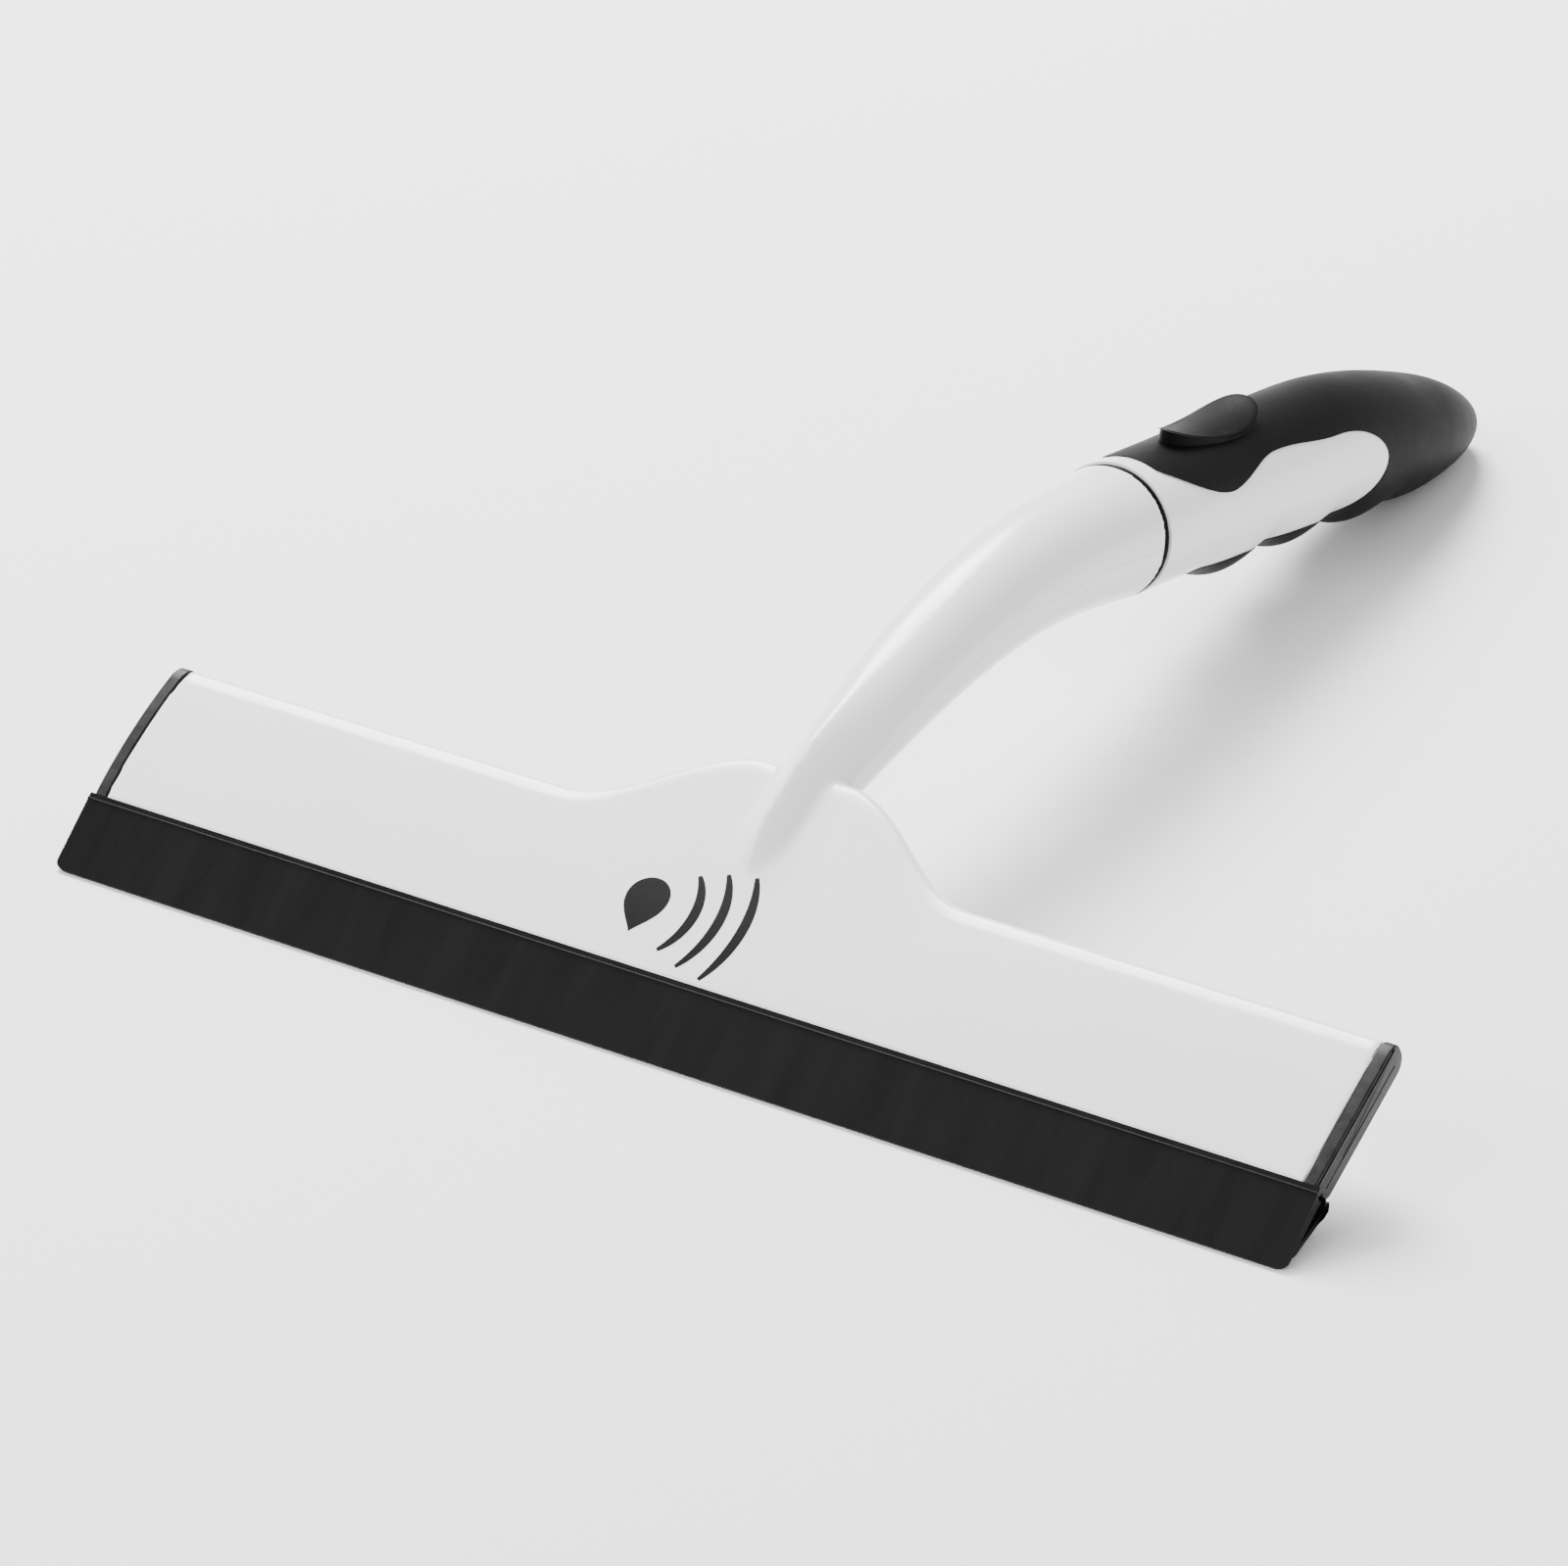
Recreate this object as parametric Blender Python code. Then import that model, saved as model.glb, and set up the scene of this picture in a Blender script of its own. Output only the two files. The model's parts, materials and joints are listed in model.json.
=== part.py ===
"""Window cleaning squeegee: two-shell head, twin rubber blades, arched neck and soft grip.

Metres. +X runs along the head, -Y is the blade side, +Y the grip side and +Z is up. The part
stands as it is put down on a table: on the edge of its upper blade and on the butt of its grip.
The head is drawn in its own sloping frame: u runs back from the front border of the plate,
v stands square on the plate, and both are turned by HEAD_SLOPE to the table.
"""
import math

import bmesh
import bpy
from mathutils import Matrix, Vector

MM = 0.001
GAP = 0.3 * MM                  # clearance kept between two pieces that touch
MERGE = 0.25 * MM               # how far joined solids run into each other

# Whole object
BLADE_LENGTH = 254.0 * MM
JOINT_BACK = 156.0 * MM         # joint between neck and grip, behind the blade edge
GRIP_LENGTH = 137.0 * MM
OVERALL_LENGTH = JOINT_BACK + GRIP_LENGTH

# Head shells, in the head's own frame
HEAD_SLOPE = math.radians(29.1)
END_SETBACK = 0.5 * MM          # how far the end caps stay inside the blade's ends
CAP_WIDTH = 2.3 * MM
PLATE_BACK = 31.4 * MM          # straight back edge
SKIN = 1.8 * MM                 # wall of both head shells
RAIL_THICKNESS = 2.6 * MM       # bead axis to bead axis, through the rail
SPLIT_DEPTH = SKIN + RAIL_THICKNESS     # where the lower shell starts, below the top face
HEAD_THICKNESS = SPLIT_DEPTH + SKIN
CAP_CORNER = 2.6 * MM           # rounded rear corners of the end caps
WING_REACH = 16.8 * MM          # how far the middle of the plate runs back under the neck
WING_INNER = 8.0 * MM           # half width of the wing at its tip
WING_OUTER = 42.0 * MM          # half width of the wing where it leaves the back edge

# Blades
BEAD_RADIUS = 0.95 * MM
BEAD_CLEARANCE = 0.2 * MM
BLADE_NECK = 0.8 * MM           # rubber between bead and blade
FLEX_LIMIT = math.radians(10.0)
NOSE_RADIUS = SKIN              # rounded lips around each bead
NOSE_WRAP = 12.0                # degrees by which the lower lips run on past their mouth
UPPER_DROP = math.radians(11.2)     # how far the upper blade points below the plate
UPPER_REACH = 15.6 * MM         # bead axis to the edge
UPPER_EDGE = 0.9 * MM           # thickness at the edge
LOWER_SETBACK = 2.6 * MM        # lower edge behind the upper edge
LOWER_GAP = 0.45 * MM           # free gap between the two edges
LOWER_EDGE = 0.8 * MM
LOWER_OVERHANG = 0.6 * MM       # how much longer the lower blade is at each end
UPPER_AXIS = (1.2 * MM, -SKIN)          # u and v of the upper bead
LOWER_AXIS = (2.8 * MM, -SPLIT_DEPTH)
RAIL_BACK = 6.2 * MM            # back face of the rail between the blades

# Screws
HEAD_SCREW_COUNT = 6
HEAD_SCREW_MARGIN = 12.5 * MM   # outermost screws, in from the shells' ends
HEAD_SCREW_BACK = 9.4 * MM
WING_SCREW_SPREAD = 17.0 * MM
WING_SCREW_BACK = 37.5 * MM
SCREW_RADIUS = 1.2 * MM
SCREW_HEAD_RADIUS = 2.3 * MM
SCREW_HEAD_HEIGHT = 0.8 * MM
BOSS_WALL = 1.3 * MM
NECK_SCREW_BACK = 106.0 * MM
JOINT_SCREW_INSET = 10.0 * MM   # in front of the joint

# Neck and joint, as distances behind the blade edge and heights above the table
TOE_BACK = 36.5 * MM
TOE_HEIGHT = 23.4 * MM
ROOT_BACK = 55.0 * MM
ROOT_HEIGHT = 30.1 * MM
CREST_BACK = 119.0 * MM
CREST_HEIGHT = 41.4 * MM
JOINT_HEIGHT = 36.8 * MM
TOE_ANGLE = math.radians(38.0)
ROOT_ANGLE = math.radians(15.5)
JOINT_ANGLE = math.radians(-11.0)
ROOT_RADIUS = 7.3 * MM
JOINT_RADIUS = 12.7 * MM
NECK_WALL = 2.2 * MM
SPIGOT_LENGTH = 20.0 * MM
SPIGOT_WALL = 2.4 * MM
RING_WIDTH = 1.2 * MM
RING_INSET = 0.35 * MM

# Grip
BUTT_BACK = OVERALL_LENGTH - 13.0 * MM
BUTT_HEIGHT = 8.8 * MM
BUTT_ANGLE = math.radians(-19.5)
BUTT_TIP = 0.4 * MM             # radius at which the rounded end is closed flat
BUTT_ROUNDING = 0.62            # share of the grip's length in front of its rounded end
BUTT_BLUNTNESS = 2.8            # power of the rounding curve
WAIST_RADIUS = JOINT_RADIUS + 0.3 * MM
PALM_SWELL = 1.0 * MM
PALM_BACK = 80.0 * MM           # middle of the palm swell, behind the joint
PALM_HALF_LENGTH = 60.0 * MM
BUTT_FLATTENING = 2.4 * MM      # how much lower the top runs towards the butt
HEEL_FLARE = 1.6 * MM
HEEL_INSET = 18.0 * MM          # middle of the flare under the butt, before BUTT_BACK
HEEL_HALF_LENGTH = 24.0 * MM
FINGER_PITCH = 24.3 * MM
FINGER_DEPTH = 2.4 * MM
FINGER_COUNT = 3
FIRST_FINGER = 31.5 * MM        # joint to the middle of the first finger swell
THUMB_BACK = 188.0 * MM         # middle of the thumb rest
THUMB_HALF_LENGTH = 14.0 * MM
THUMB_RISE = 2.4 * MM
OVERMOULD = 2.0 * MM            # rubber on the core
WINDOW_BACK = OVERALL_LENGTH - 54.0 * MM    # rear end of the bare side panels
WINDOW_RISE = 7.8 * MM          # top edge of the panels above the axis
WINDOW_DROP = 9.6 * MM
WINDOW_LOBE = 14.0 * MM         # length of the rounded rear end
WINDOW_DIP = 1.6 * MM           # how far the thumb rest pushes the top edge down
WINDOW_SHOULDER = 4.0 * MM      # how much higher the top edge starts at the joint
CORE_WALL = 2.6 * MM
CORE_SETBACK = 9.0 * MM         # end of the core inside the butt
FAR = 40.0 * MM                 # how far cutting bodies run past a piece

SIDES = 24                      # faces round the neck and the grip


def border_back():
    """Distance from the blade edge back to the front border of the plate."""
    along, up = upper_blade_point(UPPER_REACH, upper_top())
    return -(along * math.cos(HEAD_SLOPE) - up * math.sin(HEAD_SLOPE))


def border_height():
    """Height of the plate's front border when the blade edge is on the table."""
    along, up = upper_blade_point(UPPER_REACH, upper_top() - UPPER_EDGE)
    return -(along * math.sin(HEAD_SLOPE) + up * math.cos(HEAD_SLOPE))


def turned(axis, angle, forward, up):
    """A point in a blade's own frame, placed in the head's frame."""
    along = axis[0] - forward * math.cos(angle) + up * -math.sin(angle)
    square = axis[1] - forward * math.sin(angle) + up * math.cos(angle)
    return along, square


def upper_blade_point(forward, up):
    return turned(UPPER_AXIS, UPPER_DROP, forward, up)


def upper_top():
    """Height of the upper blade's face over its bead, flush with the plate at the border."""
    return UPPER_AXIS[0] * math.sin(UPPER_DROP) - UPPER_AXIS[1] * math.cos(UPPER_DROP)


def head_point(x, along, up):
    """A point of the head's sloping frame in the world."""
    cos, sin = math.cos(HEAD_SLOPE), math.sin(HEAD_SLOPE)
    back = border_back() - OVERALL_LENGTH / 2
    return Vector((x, back + along * cos - up * sin, border_height() + along * sin + up * cos))


def hermite(start, end, value):
    """Height and slope of a cubic through two (distance, height, slope angle) knots."""
    span = end[0] - start[0]
    t = (value - start[0]) / span
    m0, m1 = math.tan(start[2]) * span, math.tan(end[2]) * span
    height = ((2 * t**3 - 3 * t**2 + 1) * start[1] + (t**3 - 2 * t**2 + t) * m0
              + (3 * t**2 - 2 * t**3) * end[1] + (t**3 - t**2) * m1)
    rise = ((6 * t**2 - 6 * t) * start[1] + (3 * t**2 - 4 * t + 1) * m0
            + (6 * t - 6 * t**2) * end[1] + (3 * t**2 - 2 * t) * m1) / span
    return height, rise


def axis_knots():
    return [(TOE_BACK, TOE_HEIGHT, TOE_ANGLE),
            (ROOT_BACK, ROOT_HEIGHT, ROOT_ANGLE),
            (CREST_BACK, CREST_HEIGHT, 0.0),
            (JOINT_BACK, JOINT_HEIGHT, JOINT_ANGLE),
            (BUTT_BACK, BUTT_HEIGHT, BUTT_ANGLE)]


def axis_frame(back):
    """Centre, tangent and upward normal of the handle's axis, back behind the blade edge."""
    knots = axis_knots()
    pair = 0
    while pair < len(knots) - 2 and back > knots[pair + 1][0]:
        pair += 1
    held = min(back, knots[-1][0])
    height, rise = hermite(knots[pair], knots[pair + 1], held)
    height += (back - held) * rise
    tangent = Vector((0.0, 1.0, rise)).normalized()
    normal = Vector((0.0, -tangent.z, tangent.y))
    return Vector((0.0, back - OVERALL_LENGTH / 2, height)), tangent, normal


def blend(low, high, value):
    """0 at low, 1 at high, smooth between and level outside; low may be the larger."""
    t = max(0.0, min(1.0, (value - low) / (high - low)))
    return t * t * (3 - 2 * t)


def hump(middle, half, value):
    """A smooth bump of height 1, half wide each way."""
    t = min(1.0, abs(value - middle) / half)
    return 0.5 + 0.5 * math.cos(math.pi * t)


def new_material(name, colour, roughness, metallic=0.0):
    material = bpy.data.materials.new(name)
    material.use_nodes = True
    shader = material.node_tree.nodes["Principled BSDF"]
    shader.inputs["Base Color"].default_value = (*colour, 1.0)
    shader.inputs["Roughness"].default_value = roughness
    shader.inputs["Metallic"].default_value = metallic
    return material


def add_object(name, mesh_data, material=None):
    """Make an object of a bmesh, with faces outward and round parts smooth."""
    bmesh.ops.recalc_face_normals(mesh_data, faces=mesh_data.faces)
    mesh = bpy.data.meshes.new(name)
    mesh_data.to_mesh(mesh)
    mesh_data.free()
    mesh.shade_smooth()
    mesh.set_sharp_from_angle(angle=math.radians(35))
    piece = bpy.data.objects.new(name, mesh)
    bpy.context.scene.collection.objects.link(piece)
    if material:
        mesh.materials.append(material)
    return piece


def loft(name, rings, material=None):
    """A closed body through rings of equally many points, with flat ends."""
    mesh_data = bmesh.new()
    rows = [[mesh_data.verts.new(point) for point in ring] for ring in rings]
    count = len(rings[0])
    for row, following in zip(rows, rows[1:]):
        for i in range(count):
            j = (i + 1) % count
            mesh_data.faces.new((row[i], row[j], following[j], following[i]))
    mesh_data.faces.new(rows[0])
    mesh_data.faces.new(rows[-1])
    return add_object(name, mesh_data, material)


def head_prism(name, profile, x_low, x_high, material=None):
    """A (u, v) profile of the head's frame, drawn out along X."""
    rings = [[head_point(x, *point) for point in profile] for x in (x_low, x_high)]
    return loft(name, rings, material)


def head_slab(name, outline, low, high, material=None):
    """An (x, u) outline of the head's frame, thickened from v = low to v = high."""
    rings = [[head_point(x, along, up) for x, along in outline] for up in (low, high)]
    return loft(name, rings, material)


def rod(name, base, direction, profile, sides=12, material=None):
    """A turned piece: (distance, radius) pairs along a direction from base."""
    turn = direction.to_track_quat("Z", "Y").to_matrix()
    rings = []
    for distance, radius in profile:
        rings.append([base + turn @ Vector((radius * math.cos(a), radius * math.sin(a), distance))
                      for a in (2 * math.pi * i / sides for i in range(sides))])
    return loft(name, rings, material)


def combine(target, other, operation):
    """Run an exact Boolean on target and remove the other object."""
    modifier = target.modifiers.new(operation, "BOOLEAN")
    modifier.operation = operation
    modifier.solver = "EXACT"
    modifier.object = other
    graph = bpy.context.evaluated_depsgraph_get()
    result = bpy.data.meshes.new_from_object(target.evaluated_get(graph))
    target.modifiers.clear()
    target.data = result
    bpy.data.objects.remove(other)
    return target


def arc(centre, radius, start, end, steps):
    """Points on an arc, from start to end in degrees."""
    angles = [math.radians(start + (end - start) * i / steps) for i in range(steps + 1)]
    return [(centre[0] + radius * math.cos(a), centre[1] + radius * math.sin(a)) for a in angles]


def mouth_half_angle(radius):
    """Half the opening, in degrees, that lets a blade's neck swing to its limit."""
    half = BLADE_NECK / 2 + radius * math.sin(FLEX_LIMIT) + 0.08 * MM
    return math.degrees(math.asin(half / radius))


def lower_blade_angle():
    """Angle by which the lower blade points below the plate, aimed at the upper one's edge."""
    slope = (upper_top() - UPPER_EDGE - upper_root_low()[1]) / (UPPER_REACH - upper_root_low()[0])
    tip = upper_blade_point(UPPER_REACH - LOWER_SETBACK,
                            upper_top() - UPPER_EDGE - slope * LOWER_SETBACK - LOWER_GAP)
    ahead, up = LOWER_AXIS[0] - tip[0], tip[1] - LOWER_AXIS[1]
    distance = math.hypot(ahead, up)
    rise = math.atan2(up, ahead)
    lean = math.asin(lower_top() / distance)
    return lean - rise, math.sqrt(distance**2 - lower_top()**2)


def shoulder_radius():
    return NOSE_RADIUS + GAP


def upper_root_low():
    """Lower corner of the upper blade's shoulder, in its own frame."""
    depth = 0.45 * shoulder_radius()
    return math.sqrt(shoulder_radius()**2 - depth**2), -depth


def lower_top():
    return 0.36 * shoulder_radius()


def blade_profile(axis, angle, top, root_depth, reach, edge):
    """Outline of a blade: bead, neck, shoulder round the lips, and a tapering wedge."""
    bead_turn = math.degrees(math.asin(BLADE_NECK / 2 / BEAD_RADIUS))
    neck_turn = math.degrees(math.asin(BLADE_NECK / 2 / shoulder_radius()))
    top_turn = math.degrees(math.asin(top / shoulder_radius()))
    root_turn = math.degrees(math.asin(root_depth / shoulder_radius()))
    outline = arc((0, 0), BEAD_RADIUS, bead_turn, 360 - bead_turn, 14)
    outline += arc((0, 0), shoulder_radius(), -neck_turn, -root_turn, 4)
    outline += [(reach, top - edge), (reach, top)]
    outline += arc((0, 0), shoulder_radius(), top_turn, neck_turn, 4)
    return [turned(axis, angle, forward, up) for forward, up in outline]


def make_blade(name, axis, angle, profile, half_length, material):
    """Draw a blade out along X and cut its bead short; its origin is on the bead's axis."""
    blade = head_prism(name, profile, -half_length, half_length, material)
    bead_half = cap_inner() - GAP
    root = arc(axis, shoulder_radius() - 0.04 * MM, 0, 345, 23)
    for side in (-1, 1):
        ends = sorted((side * bead_half, side * (half_length + MM)))
        combine(blade, head_prism("bead_end", root, *ends), "DIFFERENCE")
    blade.location = head_point(0.0, *axis)
    blade.data.transform(Matrix.Translation(-blade.location))
    return blade


def cap_outer():
    return BLADE_LENGTH / 2 - END_SETBACK


def cap_inner():
    return cap_outer() - CAP_WIDTH


def shell_half():
    """Half width of the shells and the rail, inside the end caps."""
    return cap_inner() - GAP / 2


def back_edge(x):
    """u of the plate's back edge, with the wing in the middle."""
    inside = 1 - (abs(x) - WING_INNER) / (WING_OUTER - WING_INNER)
    return PLATE_BACK + WING_REACH * (0.5 - 0.5 * math.cos(math.pi * max(0.0, min(1.0, inside))))


def plate_outline(half, front, inset=0.0):
    """(x, u) outline of a head shell; inset pulls in the back edge only."""
    stations = [half, WING_OUTER + 6 * MM]
    stations += [WING_OUTER - (WING_OUTER - WING_INNER) * i / 8 for i in range(9)]
    stations += [WING_INNER / 3]
    stations += [-x for x in reversed(stations)]
    edge = []
    for x in stations:
        slope = (back_edge(x + 0.1 * MM) - back_edge(x - 0.1 * MM)) / (0.2 * MM)
        length = math.hypot(1.0, slope)
        shift = slope / length if abs(x) < half else 0.0
        edge.append((x + shift * inset, back_edge(x) - inset / length))
    return edge + [(-half, front), (half, front)]


def cut_front_above(shell):
    """Form the upper lip: a rounded nose and the upper half of the bead's channel."""
    aim = 180 + math.degrees(UPPER_DROP)
    channel = BEAD_RADIUS + BEAD_CLEARANCE
    outline = [(-FAR, FAR), (UPPER_AXIS[0], FAR)]
    outline += arc(UPPER_AXIS, NOSE_RADIUS, 90, aim - mouth_half_angle(NOSE_RADIUS), 8)
    outline += arc(UPPER_AXIS, channel, aim - mouth_half_angle(channel), -15, 10)
    outline += [(outline[-1][0], -FAR), (-FAR, -FAR)]
    combine(shell, head_prism("front", outline, -BLADE_LENGTH, BLADE_LENGTH), "DIFFERENCE")


def cut_front_below(shell):
    """Form the lower lip in the same way round the lower bead."""
    aim = 180 + math.degrees(lower_blade_angle()[0])
    channel = BEAD_RADIUS + BEAD_CLEARANCE
    outline = [(-FAR, -FAR), (LOWER_AXIS[0], -FAR)]
    outline += arc(LOWER_AXIS, NOSE_RADIUS, 270, aim + mouth_half_angle(NOSE_RADIUS), 8)
    outline += arc(LOWER_AXIS, channel, aim + mouth_half_angle(channel), 375, 10)
    outline += [(outline[-1][0], FAR), (-FAR, FAR)]
    combine(shell, head_prism("front", outline, -BLADE_LENGTH, BLADE_LENGTH), "DIFFERENCE")


def make_rail(material):
    """Rail between the shells that holds both beads in their channels."""
    upper_aim = 180 + math.degrees(UPPER_DROP)
    lower_aim = 180 + math.degrees(lower_blade_angle()[0])
    channel = BEAD_RADIUS + BEAD_CLEARANCE
    level = math.degrees(math.asin(GAP / 2 / channel))
    outline = [(RAIL_BACK, UPPER_AXIS[1] - GAP / 2)]
    outline += arc(UPPER_AXIS, channel, 360 - level, upper_aim + mouth_half_angle(channel), 10)
    outline += arc(UPPER_AXIS, NOSE_RADIUS, upper_aim + mouth_half_angle(NOSE_RADIUS),
                   upper_aim + mouth_half_angle(NOSE_RADIUS) + 4, 1)
    outline += arc(LOWER_AXIS, NOSE_RADIUS, lower_aim - mouth_half_angle(NOSE_RADIUS) - NOSE_WRAP,
                   lower_aim - mouth_half_angle(NOSE_RADIUS), 3)
    outline += arc(LOWER_AXIS, channel, lower_aim - mouth_half_angle(channel), level, 10)
    outline += [(RAIL_BACK, LOWER_AXIS[1] + GAP / 2)]
    return head_prism("blade_rail", outline, -shell_half(), shell_half(), material)


def neck_radii(back):
    """Half width and half height of the neck."""
    taper = (back - ROOT_BACK) / (JOINT_BACK - ROOT_BACK)
    full = ROOT_RADIUS + (JOINT_RADIUS - ROOT_RADIUS) * max(0.0, taper)
    toe = blend(TOE_BACK - 8 * MM, ROOT_BACK + 6 * MM, back)
    return full * (0.28 + 0.72 * toe), full * (0.36 + 0.64 * toe)


def neck_stations():
    """Distances of the neck's rings, from its toe to the joint."""
    last = JOINT_BACK - RING_WIDTH / 2 - GAP / 2
    count = 13
    return [TOE_BACK + (last - TOE_BACK) * (i / count) ** 1.15 for i in range(count + 1)]


def half_neck(name, upper, material):
    """One half of the hollow neck, split along its axis."""
    rings = []
    start, end = (0.0, math.pi) if upper else (math.pi, 2 * math.pi)
    steps = SIDES // 2
    angles = [start + (end - start) * i / steps for i in range(steps + 1)]
    seam = GAP / 2 if upper else -GAP / 2
    for back in neck_stations():
        centre, _, normal = axis_frame(back)
        half_width, half_height = neck_radii(back)
        wall = min(NECK_WALL, 0.5 * half_width)
        outer = [centre + Vector((half_width * math.cos(a), 0, 0))
                 + normal * (half_height * math.sin(a) + seam) for a in angles]
        inner = [centre + Vector(((half_width - wall) * math.cos(a), 0, 0))
                 + normal * ((half_height - wall) * math.sin(a) + seam) for a in reversed(angles)]
        rings.append(outer + inner)
    return loft(name, rings, material)


def boss_positions():
    """(x, u) of the screws that clamp the head."""
    first = HEAD_SCREW_MARGIN - shell_half()
    spacing = -2 * first / (HEAD_SCREW_COUNT - 1)
    places = [(first + i * spacing, HEAD_SCREW_BACK) for i in range(HEAD_SCREW_COUNT)]
    return places + [(side * WING_SCREW_SPREAD, WING_SCREW_BACK) for side in (-1, 1)]


def head_rod(name, place, low, high, radius, sides=12):
    """A round bar that stands square on the plate between two depths."""
    up = Vector((0, -math.sin(HEAD_SLOPE), math.cos(HEAD_SLOPE)))
    profile = [(0.0, radius), (high - low, radius)]
    return rod(name, head_point(place[0], place[1], low), up, profile, sides)


def neck_boss(back, low, high, radius):
    """A round bar through the neck, square on its axis."""
    centre, _, normal = axis_frame(back)
    return rod("boss", centre + normal * low, normal, [(0.0, radius), (high - low, radius)])


def cut_spigot_bore(shell):
    """Round bore at the end of the neck for the grip's spigot."""
    centre, tangent, _ = axis_frame(JOINT_BACK)
    start = centre - tangent * (SPIGOT_LENGTH + GAP)
    bore = [(0.0, spigot_radius() + GAP), (SPIGOT_LENGTH + 5 * MM, spigot_radius() + GAP)]
    combine(shell, rod("bore", start, tangent, bore, SIDES), "DIFFERENCE")


def make_upper_shell(material):
    """Top of the head with its wing, rear wall and the upper half of the neck."""
    front = UPPER_AXIS[0] - NOSE_RADIUS - MM
    skirt = -SPLIT_DEPTH + GAP / 2
    shell = head_slab("upper_shell", plate_outline(shell_half(), front), skirt, 0.0, material)
    pocket = plate_outline(shell_half() + 10 * MM, front - 10 * MM, SKIN)
    combine(shell, head_slab("pocket", pocket, skirt - 5 * MM, -SKIN + GAP / 2), "DIFFERENCE")
    neck = half_neck("neck_top", True, material)
    below = plate_outline(shell_half(), front, -GAP)
    combine(neck, head_slab("below", below, -FAR, skirt + MERGE), "DIFFERENCE")
    combine(shell, neck, "UNION")
    boss_radius = SCREW_RADIUS + BOSS_WALL
    for place in boss_positions():
        combine(shell, head_rod("boss", place, skirt, -MM, boss_radius), "UNION")
    for place in boss_positions():
        pilot = head_rod("pilot", place, skirt - MM, -1.0 * MM, SCREW_RADIUS + GAP)
        combine(shell, pilot, "DIFFERENCE")
    inside = neck_radii(NECK_SCREW_BACK)[1] - 0.5 * NECK_WALL
    combine(shell, neck_boss(NECK_SCREW_BACK, GAP / 2, inside, boss_radius), "UNION")
    pilot = neck_boss(NECK_SCREW_BACK, -MM, inside - MM, SCREW_RADIUS + GAP)
    combine(shell, pilot, "DIFFERENCE")
    cut_spigot_bore(shell)
    cut_front_above(shell)
    return shell


def make_lower_shell(material):
    """Bottom of the head with the lower half of the neck and the screw recesses."""
    front = LOWER_AXIS[0] - NOSE_RADIUS - MM
    top = -SPLIT_DEPTH - GAP / 2
    shell = head_slab("lower_shell", plate_outline(shell_half(), front), -HEAD_THICKNESS, top,
                      material)
    neck = half_neck("neck_bottom", False, material)
    above = plate_outline(shell_half(), front, -GAP)
    combine(neck, head_slab("above", above, top - MERGE, FAR), "DIFFERENCE")
    combine(shell, neck, "UNION")
    recess = SCREW_HEAD_HEIGHT + GAP
    for place in boss_positions():
        hole = head_rod("hole", place, -HEAD_THICKNESS - MM, top + MM, SCREW_RADIUS + GAP)
        combine(shell, hole, "DIFFERENCE")
        seat = head_rod("seat", place, -HEAD_THICKNESS - MM, -HEAD_THICKNESS + recess,
                        SCREW_HEAD_RADIUS + GAP)
        combine(shell, seat, "DIFFERENCE")
    outside = neck_radii(NECK_SCREW_BACK)[1]
    boss = neck_boss(NECK_SCREW_BACK, -outside + 0.5 * NECK_WALL, -GAP / 2,
                     SCREW_HEAD_RADIUS + BOSS_WALL)
    combine(shell, boss, "UNION")
    hole = neck_boss(NECK_SCREW_BACK, -outside - MM, MM, SCREW_RADIUS + GAP)
    combine(shell, hole, "DIFFERENCE")
    seat = neck_boss(NECK_SCREW_BACK, -outside - MM, -outside + recess + NECK_WALL,
                     SCREW_HEAD_RADIUS + GAP)
    combine(shell, seat, "DIFFERENCE")
    back = JOINT_BACK - JOINT_SCREW_INSET
    outside = neck_radii(back)[1]
    combine(shell, neck_boss(back, -outside - MM, 0.0, SCREW_RADIUS + GAP), "DIFFERENCE")
    seat = neck_boss(back, -outside - MM, -outside + recess, SCREW_HEAD_RADIUS + GAP)
    combine(shell, seat, "DIFFERENCE")
    cut_spigot_bore(shell)
    cut_front_below(shell)
    return shell


def make_end_cap(name, side, material):
    """Thin trim over one end of the head, with a block that plugs into the shells."""
    lower_aim = 180 + math.degrees(lower_blade_angle()[0])
    corner, back = CAP_CORNER, PLATE_BACK
    outline = arc(UPPER_AXIS, NOSE_RADIUS, 90, 215, 8)
    outline += arc(LOWER_AXIS, NOSE_RADIUS, lower_aim - mouth_half_angle(NOSE_RADIUS) - NOSE_WRAP,
                   270, 10)
    outline += arc((back - corner, -HEAD_THICKNESS + corner), corner, 270, 360, 5)
    outline += arc((back - corner, -corner), corner, 0, 90, 5)
    ends = sorted((side * (cap_inner() + GAP / 2), side * cap_outer()))
    cap = head_prism(name, outline, *ends, material)
    low, high = -SPLIT_DEPTH + GAP / 2, -SKIN - GAP
    plug = [(RAIL_BACK + 3 * GAP, low), (back - SKIN - 2 * GAP, low),
            (back - SKIN - 2 * GAP, high), (RAIL_BACK + 3 * GAP, high)]
    ends = sorted((side * (cap_inner() - 3 * MM), side * (cap_outer() - CAP_WIDTH / 2)))
    return combine(cap, head_prism("plug", plug, *ends), "UNION")


def make_screw(name, base, direction, length, material):
    """Pan-head self-tapping screw: head outside, shank along direction."""
    head = SCREW_HEAD_RADIUS
    profile = [(0.0, head * 0.7), (SCREW_HEAD_HEIGHT * 0.45, head), (SCREW_HEAD_HEIGHT, head),
               (SCREW_HEAD_HEIGHT, SCREW_RADIUS), (length - MM, SCREW_RADIUS),
               (length, SCREW_RADIUS * 0.4)]
    return rod(name, base, direction, profile, 12, material)


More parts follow.
